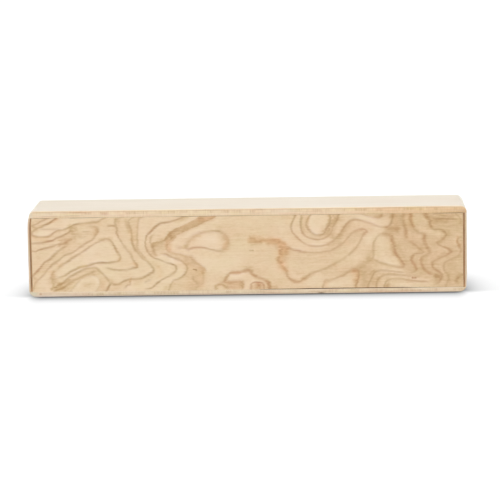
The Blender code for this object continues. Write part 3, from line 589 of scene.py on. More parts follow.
    ([(76.4, 28.0), (77.4, 22.6), (80.0, 18.6), (83.6, 16.6)], -0.14, 1.6),
    ([(72.4, 28.0), (72.2, 23.6)], 0.08, 0.8),
    ([(77.8, 13.6), (83.0, 13.0), (88.4, 12.2)], -0.13, 0.9),
    ([(86.6, 30.8), (89.6, 28.4)], -0.07, 1.4),
    ([(88.8, 25.2), (92.4, 24.4), (96.0, 24.2)], -0.10, 1.2),
    ([(92.6, 38.0), (94.8, 36.2)], 0.10, 1.0),
    ([(97.6, 32.6), (100.2, 34.8), (104.4, 35.0), (108.4, 33.6)], -0.15, 1.3),
    ([(107.2, 27.8), (109.2, 28.6), (110.8, 30.2)], 0.16, 1.0),
    ([(103.4, 44.6), (105.4, 42.8), (108.2, 41.2), (113.8, 41.2)], 0.14, 0.9),
    ([(118.6, 31.6), (116.0, 29.8), (114.2, 27.2)], -0.11, 1.6),
    ([(102.8, 24.6), (104.2, 22.4)], 0.13, 1.0),
    ([(94.4, 19.6), (96.2, 17.4)], 0.12, 1.0),
    ([(89.4, 14.4), (94.4, 13.2), (99.0, 12.4)], 0.10, 1.2),
    ([(101.2, 20.4), (101.8, 16.8), (103.4, 13.8)], 0.10, 1.2),
    ([(118.4, 11.0), (118.6, 9.6)], -0.08, 0.9),
    ([(105.2, 11.4), (106.8, 9.8)], 0.10, 0.9),
    ([(110.4, 6.4), (109.0, 5.0), (106.0, 4.0), (96.0, 4.2), (88.0, 4.4)], -0.12, 1.0),
    ([(79.8, 7.2), (80.0, 5.0), (79.4, 3.4)], 0.21, 1.0),
    ([(74.4, 7.8), (75.4, 5.8)], 0.16, 1.0),
    ([(72.0, 9.6), (71.6, 7.0), (70.2, 4.4)], 0.12, 1.2),
    ([(64.4, 13.8), (66.0, 12.0)], 0.10, 1.2),
]

# Where the wood turns orange (+) or olive (-): path, share, half width
BLUSHES = [
    ([(1.6, 31.8), (9.0, 31.8), (18.0, 31.6)], 0.55, 1.2),
    ([(20.0, 28.0), (19.4, 24.0), (19.4, 20.0), (20.0, 16.0)], 0.60, 2.0),
    ([(60.6, 12.0), (61.6, 9.4), (61.2, 7.4)], 0.50, 1.3),
    ([(44.4, 6.0), (45.0, 4.0)], 0.45, 1.0),
    ([(-111.9, 14.0), (-111.7, 11.4)], 0.40, 1.0),
    ([(-107.6, 18.6), (-106.2, 18.4)], 0.40, 1.0),
    ([(-122.0, 34.6), (-119.0, 33.4), (-115.0, 33.4)], 0.40, 1.2),
    ([(-65.8, 36.6), (-65.4, 32.4)], 0.45, 1.2),
    ([(-75.4, 27.2), (-74.6, 26.8)], 0.40, 0.9),
    ([(92.4, 44.4), (92.2, 38.6)], 0.35, 1.2),
    ([(-43.6, 31.0), (-43.4, 27.4)], 0.35, 1.2),
    ([(-50.4, 16.0), (-50.2, 11.0)], 0.35, 1.2),
    ([(81.8, 28.6), (82.2, 25.0)], 0.25, 1.0),
    ([(-62.0, 40.0), (-61.4, 30.0)], 0.25, 1.0),
    ([(56.2, 30.6), (57.0, 28.6)], 0.35, 1.0),
    ([(49.2, 16.6), (50.2, 16.0)], 0.40, 0.8),
    ([(-12.4, 29.8), (-12.2, 26.6)], 0.30, 1.2),
    ([(-82.6, 8.2), (-83.0, 5.6)], 0.35, 1.1),
    ([(-75.6, 7.4), (-73.4, 7.0)], 0.30, 1.0),
    ([(-26.4, 12.0), (-26.0, 6.0)], 0.22, 1.6),
    ([(-74.9, 23.8), (-73.6, 23.2)], -0.50, 1.1),
    ([(-64.0, 6.0), (-61.8, 5.2)], -0.50, 1.4),
    ([(-57.6, 42.8), (-56.4, 42.4)], -0.45, 0.9),
    ([(4.0, 7.2), (7.0, 8.8), (11.0, 8.4), (12.8, 5.4)], -0.35, 0.8),
    ([(-34.0, 31.6), (-30.6, 32.4)], -0.25, 1.2),
    ([(-25.0, 31.4), (-15.0, 30.4)], -0.25, 1.3),
    ([(-25.0, 23.8), (-15.6, 22.0)], -0.25, 1.4),
    ([(-4.8, 17.2), (-3.0, 16.0)], -0.30, 1.3),
    ([(20.0, 33.6), (27.0, 33.0), (33.0, 29.6)], -0.25, 1.6),
    ([(105.0, 33.0), (105.4, 28.0)], -0.25, 1.2),
]

# How dark the plain wood runs along the panel
GROUND = ([-123, -100, -75, -45, -20, 20, 45, 60, 75, 86, 100, 123],
          [0.38, 0.38, 0.35, 0.34, 0.36, 0.41, 0.45, 0.49, 0.58, 0.74, 0.78, 0.80])


def run(points, step=0.16):
    """A smooth path through the given points, with its direction."""
    p = np.array(points, float)
    if len(p) == 2:
        p = np.array([p[0], (p[0] + p[1]) / 2, p[1]])
    ends = np.vstack([2 * p[0] - p[1], p, 2 * p[-1] - p[-2]])
    out = []
    for a, b, c, d in zip(ends[:-3], ends[1:-2], ends[2:-1], ends[3:]):
        n = max(2, int(np.linalg.norm(c - b) / step))
        t = (np.arange(n) / n)[:, None]
        out.append(0.5 * (2 * b + (c - a) * t + (2 * a - 5 * b + 4 * c - d) * t**2
                          + (3 * b - a - 3 * c + d) * t**3))
    return np.vstack(out + [p[-1:]])


def heading(at):
    way = np.gradient(at, axis=0)
    return way / np.maximum(np.linalg.norm(way, axis=1, keepdims=True), 1e-9)


def along_noise(rng, n, pitch, low, high):
    knots = np.linspace(0, 1, max(3, n // pitch))
    return np.interp(np.linspace(0, 1, n), knots, rng.uniform(low, high, len(knots)))


def rows_noise(rng, xs, rows, pitch, reach):
    """Random offsets that change slowly along a row and freely from row to row."""
    knots = np.arange(xs[0] - pitch, xs[-1] + 2 * pitch, pitch)
    table = rng.normal(0.0, reach, (rows, len(knots)))
    return np.array([np.interp(xs, knots, row) for row in table])


def window(grid, at, reach):
    """The part of a grid within reach of a point."""
    xs, zs = grid
    hx, hz = xs[1] - xs[0], zs[1] - zs[0]
    i0, i1 = int((at[0] - reach - xs[0]) / hx), int((at[0] + reach - xs[0]) / hx) + 2
    j0, j1 = int((at[1] - reach - zs[0]) / hz), int((at[1] + reach - zs[0]) / hz) + 2
    return slice(max(j0, 0), max(min(j1, len(zs)), 0)), slice(max(i0, 0), max(min(i1, len(xs)), 0))


def splat(field, grid, at, peak, half):
    """Lays soft round spots along a path into a field; the darkest wins."""
    xs, zs = grid
    for p, s, w in zip(at, peak, half):
        rows, cols = window(grid, p, 2.8 * w)
        d2 = ((xs[cols] - p[0]) ** 2)[None, :] + ((zs[rows] - p[1]) ** 2)[:, None]
        np.maximum(field[rows, cols], s * np.exp(-d2 / (2 * w * w)), out=field[rows, cols])


def figure(xs, zs, seed, warp=None):
    """Fields of a panel's figure on a grid: distance to the nearest ring line in line
    half widths, how dark that line is, the tone of the wood, and its warmth."""
    rng = np.random.default_rng(seed)
    grid = (xs, zs)
    shape = (len(zs), len(xs))
    near, ink = np.full(shape, 6.0), np.zeros(shape)
    patch, lift, warm = np.zeros(shape), np.zeros(shape), np.zeros(shape)
    weight, pull = np.zeros(shape), np.zeros(shape)
    hx, hz = xs[1] - xs[0], zs[1] - zs[0]
    open_x, open_z = np.ones((shape[0], shape[1] - 1)), np.ones((shape[0] - 1, shape[1]))

    tips = [p for points, *_ in RINGS for p in (points[0], points[-1])]
    for points, dark, half, left, right in RINGS:
        at = run(points)
        if warp is not None:
            at = warp(at)
        way = heading(at)
        n = len(at)
        # lines come and go along their length, and taper where they end in the wood
        swell = along_noise(rng, n, 24, 0.55, 1.28)
        width = 0.93 * half * along_noise(rng, n, 20, 0.72, 1.32)
        for end, order in ((0, 1), (-1, -1)):
            x, z = points[end]
            if 3.6 < z < 45.2 and abs(x) < 121.8 and n > 26 and tips.count((x, z)) < 2:
                k = min(16, n // 4)
                swell[::order][:k] *= np.linspace(0.25, 1.0, k)
        for k in range(n):
            rows, cols = window(grid, at[k], 6 * width[k])
            d = np.sqrt(((xs[cols] - at[k, 0]) ** 2)[None, :] + ((zs[rows] - at[k, 1]) ** 2)[:, None]) / width[k]
            closer = d < near[rows, cols]
            near[rows, cols] = np.where(closer, d, near[rows, cols])
            ink[rows, cols] = np.where(closer, dark * swell[k], ink[rows, cols])
        # tone does not pass through a line: shut the links it crosses, and set the tone on both sides
        for (x0, z0), (x1, z1) in zip(at[:-1], at[1:]):
            j0, j1 = sorted(((z0 - zs[0]) / hz, (z1 - zs[0]) / hz))
            for j in range(math.ceil(j0), math.floor(j1) + 1):
                if 0 <= j < shape[0] and z0 != z1:
                    i = math.floor((x0 + (x1 - x0) * (zs[0] + j * hz - z0) / (z1 - z0) - xs[0]) / hx)
                    if 0 <= i < shape[1] - 1:
                        open_x[j, i] = 0.0
                        a, b = (left, right) if z1 > z0 else (right, left)
                        weight[j, i] += 1.0
                        pull[j, i] += a
                        weight[j, i + 1] += 1.0
                        pull[j, i + 1] += b
            i0, i1 = sorted(((x0 - xs[0]) / hx, (x1 - xs[0]) / hx))
            for i in range(math.ceil(i0), math.floor(i1) + 1):
                if 0 <= i < shape[1] and x0 != x1:
                    j = math.floor((z0 + (z1 - z0) * (xs[0] + i * hx - x0) / (x1 - x0) - zs[0]) / hz)
                    if 0 <= j < shape[0] - 1:
                        open_z[j, i] = 0.0
                        a, b = (right, left) if x1 > x0 else (left, right)  # below, above
                        weight[j, i] += 1.0
                        pull[j, i] += a
                        weight[j + 1, i] += 1.0
                        pull[j + 1, i] += b

    for points, dark, half, tint in PATCHES:
        at = run(points, 0.4)
        if warp is not None:
            at = warp(at)
        n = len(at)
        width = half * along_noise(rng, n, 8, 0.8, 1.15)
        if dark < 0:
            splat(lift, grid, at, np.full(n, -dark), width)
        else:
            splat(patch, grid, at, dark * along_noise(rng, n, 6, 0.7, 1.15), width)
        tinted = np.zeros(shape)
        splat(tinted, grid, at, np.full(n, abs(tint)), width)
        warm += math.copysign(1.0, tint) * tinted

    wash = np.zeros(shape)
    for points, depth, half in WASHES:
        at = run(points, 0.4)
        if warp is not None:
            at = warp(at)
        n = len(at)
        soft = np.zeros(shape)
        splat(soft, grid, at, abs(depth) * along_noise(rng, n, 8, 0.85, 1.15), half * along_noise(rng, n, 8, 0.9, 1.15))
        wash += math.copysign(1.0, depth) * soft

    for points, share, half in BLUSHES:
        at = run(points, 0.4)
        if warp is not None:
            at = warp(at)
        soft = np.zeros(shape)
        splat(soft, grid, at, np.full(len(at), abs(share)), np.full(len(at), half))
        warm += math.copysign(1.0, share) * soft

    # the wood between two lines runs from the tone beside one to the tone beside the other
    base = np.interp(xs, *GROUND)[None, :].repeat(len(zs), 0)
    stiff = np.where(weight > 0, 5.0, 0.0)
    target = np.where(weight > 0, pull / np.maximum(weight, 1e-9), 0.0)
    pullback = (hx / 5.0) ** 2
    links = np.zeros(shape)
    links[:, :-1] += open_x
    links[:, 1:] += open_x
    links[:-1] += open_z
    links[1:] += open_z
    tone = base.copy()
    for _ in range(400):
        flow = np.zeros(shape)
        flow[:, :-1] += open_x * tone[:, 1:]
        flow[:, 1:] += open_x * tone[:, :-1]
        flow[:-1] += open_z * tone[1:]
        flow[1:] += open_z * tone[:-1]
        tone = (flow + pullback * base + stiff * target) / (links + pullback + stiff)

    # fibres run along the panel, so every edge across them is frayed row by row
    fray = rows_noise(rng, xs, len(zs), 5.0, 0.14) + rows_noise(rng, xs, len(zs), 1.6, 0.10)
    torn = rows_noise(rng, xs, len(zs), 5.0, 1.25)
    torn[1:] = 0.6 * torn[1:] + 0.4 * torn[:-1]
    rough = torn * np.clip(patch * 1.8, 0, 1)
    out = []
    for field, extra in ((near, 0.0), (ink, 0.0), (tone, 0.0), (patch, 1.0), (warm, 1.0), (wash, 0.5)):
        moved = np.empty(shape)
        for j in range(shape[0]):
            moved[j] = np.interp(xs + fray[j] + extra * rough[j], xs, field[j])
        out.append(moved)
    near, ink, tone, patch, warm, wash = out
    return {"near": near, "ink": ink, "tone": np.clip(tone, 0, 1.2), "patch": np.clip(patch - lift + wash, -1, 1.0), "warm": np.clip(warm, -1, 1)}


# ---------------------------------------------------------------- materials

TONE_MID, TONE_SPAN = 0.38, 0.75  # how far the figure's tones spread about the middle one
# painted shadow: the floor's colour darkens in a soft grey margin round the box
FRONT_REACH, FRONT_DARK, FRONT_TAIL = 6.6, 0.76, 0.14  # the grey margin on the floor: millimetres, share


def veneer_material(name, seed):
    s = Shader(name)
    shift = s.combine(seed * 37.0, seed * 11.0, seed * 23.0)
    at = s.vec("ADD", s.mm, shift)

    def grain(kx, kz, **kw):
        return s.noise(s.vec("MULTIPLY", at, (kx, 0.4, kz)), **kw)

    tone = s.attribute("tone")
    patch = s.attribute("patch")
    warm = s.attribute("warm")
    fibre = grain(0.030, 0.85, detail=5.0, rough=0.62)
    streak = grain(0.12, 2.4, detail=3.0, rough=0.6)
    fray = grain(0.20, 1.7, detail=2.0, rough=0.6)
    mottle = grain(0.07, 0.11, detail=2.0)
    hue = grain(0.030, 0.060, detail=2.0)
    tinge = grain(0.11, 0.17, detail=2.0)
    fleck = grain(0.50, 1.20, detail=3.0, rough=0.65)
    pore = s.step(grain(0.36, 3.6, detail=2.0, rough=0.6), 0.60, 0.72)

    # ring lines, broken up by the fibres
    gap = s.add(s.attribute("near"), s.mul(s.sub(fray, 0.5), 1.9))
    mark = s.math("EXPONENT", s.mul(gap, gap, -0.45))
    mark = s.clamp(s.mul(mark, s.attribute("ink"), s.add(0.50, s.mul(streak, 0.95))))

    depth = s.add(
        s.add(TONE_MID, s.mul(s.sub(tone, TONE_MID), TONE_SPAN)),
        s.mul(patch, s.add(0.55, s.mul(fray, 0.9))),
        s.mul(s.sub(fibre, 0.5), 0.30),
        s.mul(s.sub(streak, 0.5), 0.30),
        s.mul(s.sub(mottle, 0.5), 0.30),
        s.mul(s.sub(fleck, 0.5), 0.46),
    )
    colour = s.ramp(s.clamp(depth), [
        (0.00, lin(238, 215, 187)),
        (0.25, lin(233, 208, 175)),
        (0.45, lin(226, 198, 161)),
        (0.70, lin(211, 179, 139)),
        (1.00, lin(190, 152, 107)),
    ])
    red = s.step(hue, 0.42, 0.66)
    line_colour = s.mix(red, lin(174, 132, 84), lin(184, 131, 92))
    colour = s.mix(s.mul(mark, 0.86), colour, line_colour)
    colour = s.mix(s.mul(pore, s.add(0.05, s.mul(tone, 0.14))), colour, lin(160, 120, 80))
    colour = s.mix(s.mul(s.step(hue, 0.50, 0.68), 0.6), colour, (1.0, 0.975, 0.965, 1.0), "MULTIPLY")
    colour = s.mix(s.mul(s.step(hue, 0.50, 0.32), 0.6), colour, (0.985, 1.0, 0.955, 1.0), "MULTIPLY")
    colour = s.mix(s.mul(s.step(tinge, 0.50, 0.66), 0.7), colour, (1.0, 0.978, 0.965, 1.0), "MULTIPLY")
    colour = s.mix(s.mul(s.step(tinge, 0.50, 0.34), 0.7), colour, (0.985, 1.0, 0.965, 1.0), "MULTIPLY")
    orange = s.clamp(warm)
    olive = s.clamp(s.mul(warm, -1.0))
    colour = s.mix(s.mul(orange, 0.8), colour, (1.02, 0.87, 0.79, 1.0), "MULTIPLY")
    colour = s.mix(s.mul(olive, 0.55), colour, (0.96, 0.99, 0.86, 1.0), "MULTIPLY")
    # painted shade: faces that look into the gaps between the parts are coloured dark brown
    colour = s.mix(s.attribute("gap_shade"), colour, s.mix(fibre, lin(70, 46, 24), lin(96, 66, 38)))
    rough = s.add(0.50, s.mul(fibre, 0.12), s.mul(pore, 0.16))
    height = s.add(s.mul(fibre, 0.5), s.mul(pore, -0.6), s.mul(streak, 0.25))
    return s.done(colour, rough, s.bump(height, 0.25, 0.06), specular=0.2)


def ply_material(name, axis, outside, inward, seed, right=0.0, tint=(1.0, 1.0, 1.0), marks=(), turn_down_shade=0.0):
    """Birch ply. axis is the one across its layers, 'x' or 'z'; outside is where its
    outer face lies on that axis, and inward the sign of the way in. right makes the
    rims more orange towards +x; marks are stains on the rims, and one painted-light patch on the foot: x, z, half
    sizes, depth;
    turn_down_shade paints shade: it greys the outer face where it turns down at the two ends."""
    s = Shader(name)
    across, length = (s.x, s.z) if axis == "x" else (s.z, s.x)
    shift = s.combine(seed * 31.0, seed * 17.0, seed * 7.0)
    at = s.vec("ADD", s.mm, shift)

    def grain(k_across, k_deep, k_length, **kw):
        k = (k_across, k_deep, k_length) if axis == "x" else (k_length, k_deep, k_across)
        return s.noise(s.vec("MULTIPLY", at, k), **kw)

    waver = grain(0.09, 0.09, 0.09, detail=2.0)
    deep = s.add(s.mul(s.sub(across, outside), inward), s.mul(s.sub(waver, 0.5), 0.35))
    rim = s.attribute("rim")
    g_long = grain(0.75, 0.75, 0.020, detail=4.0, rough=0.6)
    g_fine = grain(2.6, 2.6, 0.10, detail=3.0, rough=0.6)
    cloud = grain(0.02, 0.03, 0.02, detail=2.0)

    # the outer face veneer: very pale, long faint grain
    face_tone = s.add(0.5, s.mul(s.sub(g_long, 0.5), 0.9), s.mul(s.sub(g_fine, 0.5), 0.5), s.mul(s.sub(cloud, 0.5), 0.5))
    face = s.ramp(s.clamp(face_tone), [
        (0.0, lin(219, 211, 198)),
        (0.5, lin(212, 202, 187)),
        (1.0, lin(203, 189, 169)),
    ])
    # painted shade: the outer face greys where it turns down at the two ends
    if turn_down_shade:
        turn_down_shade_mask = s.mul(s.step(s.math("ABSOLUTE", s.x), 121.0, 123.6), turn_down_shade)
        face = s.mix(turn_down_shade_mask, face, (0.85, 0.875, 0.895, 1.0), "MULTIPLY")

    # the layers seen edge on: end grain in blocks and ticks, long grain in streaks
    block = s.step(grain(0.03, 0.05, 0.17, detail=1.5), 0.38, 0.62)
    tick = grain(0.22, 0.15, 1.25, detail=3.0, rough=0.65)
    stripe = grain(1.5, 0.6, 0.035, detail=3.0, rough=0.6)
    hue = grain(0.25, 0.05, 0.085, detail=2.0)
    end_tone = s.add(0.46, s.mul(s.sub(tick, 0.5), 1.15), s.mul(s.sub(block, 0.5), 0.34), s.mul(s.sub(stripe, 0.5), 0.35))
    cross = s.ramp(s.clamp(end_tone), [
        (0.0, lin(240, 220, 186)),
        (0.5, lin(229, 204, 169)),
        (1.0, lin(203, 171, 132)),
    ])
    long_tone = s.add(0.45, s.mul(s.sub(stripe, 0.5), 1.0), s.mul(s.sub(g_fine, 0.5), 0.5), s.mul(s.sub(tick, 0.5), 0.85))
    along = s.ramp(s.clamp(long_tone), [
        (0.0, lin(242, 224, 196)),
        (0.5, lin(233, 210, 178)),
        (1.0, lin(215, 187, 152)),
    ])
    layer = s.ramp(s.mul(deep, 0.2), [  # 0..5 mm
        (0.00, 0.0), (0.16, 0.0), (0.19, 1.0), (0.45, 1.0), (0.48, 0.0),
        (0.81, 0.0), (0.83, 1.0), (1.00, 1.0),
    ])
    edge = s.mix(layer, along, cross)
    glue_and_gap_shade = s.ramp(s.mul(deep, 0.2), [
        (0.00, 0.9), (0.05, 0.5), (0.11, 0.3), (0.17, 1.0), (0.22, 0.0),
        (0.43, 0.0), (0.465, 0.7), (0.50, 0.0), (0.80, 0.0), (0.82, 0.6), (0.84, 0.0),
    ])
    edge = s.mix(s.mul(glue_and_gap_shade, s.add(0.05, s.mul(stripe, 0.75))), edge, lin(192, 152, 110))
    pink = s.step(hue, 0.48, 0.66)
    edge = s.mix(s.mul(pink, 0.8), edge, (1.0, 0.955, 0.955, 1.0), "MULTIPLY")
    green = s.step(hue, 0.50, 0.34)
    edge = s.mix(s.mul(green, 0.7), edge, (0.985, 1.0, 0.925, 1.0), "MULTIPLY")
    if right:
        edge = s.mix(s.mul(s.step(length, 30.0, 96.0), s.step(deep, 0.4, 1.3), right), edge, (0.965, 0.885, 0.785, 1.0), "MULTIPLY")
        edge = s.mix(s.mul(s.step(length, 98.0, 118.0), s.step(deep, 1.4, 2.4), right), edge, (0.955, 0.93, 0.90, 1.0), "MULTIPLY")
        edge = s.mix(s.mul(s.step(length, 113.0, 123.0), s.step(deep, 2.0, 2.9), right), edge, (0.90, 0.885, 0.87, 1.0), "MULTIPLY")
        edge = s.mix(s.mul(s.step(deep, 2.6, 3.3), right), edge, (0.965, 0.965, 0.96, 1.0), "MULTIPLY")
        edge = s.mix(s.mul(s.step(deep, 2.2, 2.7), right), edge, (0.985, 0.965, 0.955, 1.0), "MULTIPLY")
        edge = s.mix(s.mul(s.step(deep, 3.1, 3.5), right), edge, (0.995, 0.975, 0.935, 1.0), "MULTIPLY")
    # painted light and shade: the tint makes each board's rims lighter or darker for how the light falls on that board
    edge = s.mix(1.0, edge, (*tint, 1.0), "MULTIPLY")
    for mx, mz, rx, rz, depth, stain in marks:
        u = s.mul(s.sub(s.x, mx), 1.0 / rx)
        v = s.mul(s.sub(s.z, mz), 1.0 / rz)
        here = s.math("EXPONENT", s.mul(s.add(s.mul(u, u), s.mul(v, v)), -1.0))
        edge = s.mix(s.mul(here, s.add(0.35, s.mul(tick, 1.3)), depth), edge, stain)
    # painted highlight: paler round the upper left corner
    corner_highlight = s.mul(s.step(s.x, -121.0, -123.2), s.step(s.z, 44.6, 46.4), 0.6)
    edge = s.mix(corner_highlight, edge, lin(226, 214, 193))
    # painted shade: darker low down towards the foot, more so to the left
    foot_shade = s.mul(s.step(s.z, 1.9, 0.5), s.step(s.x, 110.0, -20.0))
    edge = s.mix(foot_shade, edge, (0.92, 0.955, 1.01, 1.0), "MULTIPLY")
    colour = s.mix(s.step(rim, 0.35, 0.95), face, edge)
    # painted shade: faces that look into the gaps between the parts are coloured dark brown
    colour = s.mix(s.attribute("gap_shade"), colour, s.mix(g_fine, lin(66, 44, 24), lin(92, 64, 38)))
    rough = s.add(0.74, s.mul(g_fine, 0.12), s.mul(rim, -0.04))
    height = s.add(s.mul(g_fine, 0.5), s.mul(tick, s.mul(rim, 0.6)))
    gloss = s.mul(s.sub(1.0, s.attribute("gap_shade")), 0.13)
    return s.done(colour, rough, s.bump(height, 0.2, 0.06), specular=gloss)


def gap_shade_material():
    # painted shade: the bead in the gaps is coloured brown to stand for the shade in the gap
    s = Shader("gap_bead_painted_shade")
    wide = s.noise(s.vec("MULTIPLY", s.mm, (0.6, 0.6, 0.16)), detail=3.0)
    fine = s.noise(s.mm, detail=3.0, rough=0.6, scale=1.9)
    tone = s.add(0.5, s.mul(s.sub(wide, 0.5), 1.1), s.mul(s.sub(fine, 0.5), 0.7))
    colour = s.ramp(s.clamp(tone), [
        (0.0, lin(184, 142, 99)),
        (0.5, lin(153, 115, 76)),
        (1.0, lin(123, 89, 57)),
    ])
    # the painted shade of the gap is paler at the foot of the left end
    colour = s.mix(s.mul(s.step(s.z, 3.4, 2.8), s.step(s.x, 0.0, -10.0)), colour, lin(222, 206, 178))
    return s.done(colour, s.add(0.42, s.mul(fine, 0.3)), s.bump(s.add(fine, wide), 0.4, 0.1))


def steel_material():
    s = Shader("worn_steel_shot")
    wide = s.noise(s.mm, detail=3.0, scale=0.45)
    fine = s.noise(s.mm, detail=4.0, rough=0.65, scale=2.6)
    tone = s.add(0.5, s.mul(s.sub(wide, 0.5), 0.9), s.mul(s.sub(fine, 0.5), 0.5))
    colour = s.ramp(s.clamp(tone), [
        (0.0, (0.44, 0.43, 0.42, 1.0)),
        (0.5, (0.56, 0.56, 0.56, 1.0)),
        (1.0, (0.64, 0.64, 0.65, 1.0)),
    ])
    rough = s.add(0.22, s.mul(fine, 0.25))
    return s.done(colour, rough, s.bump(fine, 0.15, 0.03), specular=0.5, Metallic=1.0)


def floor_material():
    s = Shader("pale_sweep")
    cloud = s.noise(s.mm, detail=2.0, scale=0.004)
    grit = s.noise(s.mm, detail=2.0, scale=0.5)
    colour = s.ramp(s.clamp(s.add(cloud, s.mul(grit, 0.05))), [
        (0.0, (0.93, 0.93, 0.93, 1.0)), (1.0, (0.95, 0.95, 0.95, 1.0))])

    # painted shadow: a soft grey margin painted into the floor's colour where the box hides the room from the sweep
    def over(value):
        return s.math("MAXIMUM", value, 0.0)

    def fade(value, length):
        return s.math("EXPONENT", s.mul(value, -1.0 / length))

    past = s.sub(s.math("ABSOLUTE", s.x), HALF_L)
    inset = over(s.add(past, CORNER_R))
    ahead = s.sub(-HALF_D, s.y)
    behind = s.sub(s.y, HALF_D)
    near = over(ahead)
    front = s.add(s.mul(fade(near, FRONT_REACH), FRONT_DARK), s.mul(fade(near, 2.6 * FRONT_REACH), FRONT_TAIL),
                  s.mul(fade(near, 50.0), 0.05))
    front = s.mul(front, s.step(ahead, -5.0, 0.5), s.step(past, 3.2, -7.8))
    back = s.mul(fade(s.add(over(behind), inset), 14.0), s.step(behind, -22.0, 8.0), 0.30)
    row = s.mul(s.add(s.y, HALF_D), 1.0 / 69.0)
    bell = s.math("EXPONENT", s.mul(row, row, -1.0))
    to_right = s.step(s.x, -20.0, 20.0)
    ends = s.add(s.mul(fade(over(past), 7.5), s.add(0.265, s.mul(to_right, 0.035))),
                 s.mul(fade(over(past), 30.0), s.add(0.10, s.mul(to_right, 0.056))),
                 s.mul(fade(inset, 1.8), 0.94))
    ends = s.mul(ends, bell, s.step(ahead, 7.5, -7.0), s.step(past, -10.0, -1.0), s.step(behind, 60.0, 0.0))
    shade = s.math("MAXIMUM", s.math("MAXIMUM", front, back), ends)
    colour = s.mix(shade, colour, (0.006, 0.006, 0.006, 1.0))
    return s.done(colour, s.add(0.75, s.mul(grit, 0.1)), s.bump(grit, 0.03, 0.05), specular=0.0)


# ---------------------------------------------------------------- boards

def arc(cx, cz, r, start, end, n):
    return [(cx + r * math.cos(start + (end - start) * i / n),
             cz + r * math.sin(start + (end - start) * i / n)) for i in range(n + 1)]


def board_mesh(outline, soft=EDGE):
    """Sweeps an outline through the depth and rounds its rims. Each point of it is x, z
    (mm) and the way it moves for every millimetre that the rim is rounded in."""
    bm = bmesh.new()
    steps = 4
    turns = [math.pi / 2 * i / steps for i in range(steps + 1)]
    rows = [(soft * (1 - math.sin(a)), -(HALF_D - soft + soft * math.cos(a))) for a in turns]
    rows += [(inset, -y) for inset, y in reversed(rows)]
    loops = [[bm.verts.new(((x - nx * inset) * MM, y * MM, (z - nz * inset) * MM)) for x, z, nx, nz in outline]
             for inset, y in rows]
    n = len(outline)
    for a, b in zip(loops[:-1], loops[1:]):
        for i in range(n):
            j = (i + 1) % n
            bm.faces.new((a[i], a[j], b[j], b[i]))
    bm.faces.new(list(reversed(loops[0])))
    bm.faces.new(loops[-1])
    return bm


# How far the ends draw in, in millimetres, by height: at the upper left, and at the
# lower right, where only the outer edge is rubbed down
DRAWN_LEFT = ([36.0, 38.0, 40.8, 42.6, 44.3, 46.0, 47.8, 48.5, 49.0, 49.5],
              [0.00, 0.02, 0.10, 0.23, 0.50, 0.81, 0.71, 0.34, 0.06, 0.00])
DRAWN_RIGHT = ([1.0, 2.9, 4.7, 6.4, 8.1, 10.5], [0.02, 0.18, 0.34, 0.23, 0.08, 0.00])


def draw_in(mesh):
    co = np.empty(len(mesh.vertices) * 3)
    mesh.vertices.foreach_get("co", co)
    co = co.reshape(-1, 3)
    x, z = co[:, 0] / MM, co[:, 2] / MM
    left = np.clip((-x - 113.0) / 12.0, 0, 1) ** 2.5 * np.interp(z, *DRAWN_LEFT)
    right = np.clip((x - 123.9) / 1.1, 0, 1) * np.interp(z, *DRAWN_RIGHT)
    co[:, 0] += (left - right) * MM
    mesh.vertices.foreach_set("co", co.ravel())
    mesh.update()


def finish_board(name, bm, material, nodes, hidden):
    bmesh.ops.recalc_face_normals(bm, faces=bm.faces)
    mesh = bpy.data.meshes.new(name)
    bm.to_mesh(mesh)
    bm.free()
    co = np.empty(len(mesh.vertices) * 3)
    mesh.vertices.foreach_get("co", co)
    y = np.abs(co.reshape(-1, 3)[:, 1]) / MM
    rim = mesh.attributes.new("rim", "FLOAT", "POINT")
    rim.data.foreach_set("value", np.clip((y - (HALF_D - EDGE)) / EDGE, 0, 1).astype(np.float32))
    # faces that look into the gaps, marked for painted shade in the material
    gap_shade = mesh.attributes.new("gap_shade", "FLOAT", "FACE")
    gap_shade.data.foreach_set("value", [float(hidden(f.center / MM, f.normal)) for f in mesh.polygons])
    draw_in(mesh)
    mesh.materials.append(material)
    mesh.shade_smooth()
    mesh.set_sharp_from_angle(angle=math.radians(40))
    obj = add_object(name, mesh)
    keep = obj.modifiers.new("flat faces stay flat", "WEIGHTED_NORMAL")
    keep.keep_sharp = True
    keep.weight = 100
    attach(obj, "shell")
    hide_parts(*nodes)
    return obj


def long_board(name, top, node, material):
    thick, seam = (TOP_T, CEILING) if top else (BOTTOM_T, FLOOR)
    quarter = math.pi / 2
    outline = []
    for side in (1, -1) if top else (-1, 1):
        r = CORNERS[side, top]
        cx, cz = side * (HALF_L - r), HEIGHT - r if top else r
        flip = math.asin(max(r - thick, 0.0) / r)
        turn = {
            (1, True): (flip, quarter), (-1, True): (quarter, 2 * quarter - flip),
            (-1, False): (2 * quarter + flip, 3 * quarter), (1, False): (3 * quarter, 4 * quarter - flip),
        }[side, top]
        bend = [(x, z, (x - cx) / r, (z - cz) / r) for x, z in arc(cx, cz, r, *turn, 24)]
        tip = (cx + side * r * math.cos(flip), seam, side / math.cos(flip), 0.0)  # where it meets the seam
        if outline:
            bend = (bend[:-1] if r > thick else bend) + [tip]
        else:
            bend = [tip] + (bend[1:] if r > thick else bend)
        outline += bend
    return finish_board(name, board_mesh(outline), material, [node], lambda c, n: abs(c.z - seam) < 0.01)


def loop_x(z, side):
    low, high = CORNERS[side, False], CORNERS[side, True]
    r, over = (low, low - z) if z < HEIGHT / 2 else (high, z - (HEIGHT - high))
    return HALF_L - r + math.sqrt(r**2 - max(over, 0.0) ** 2)


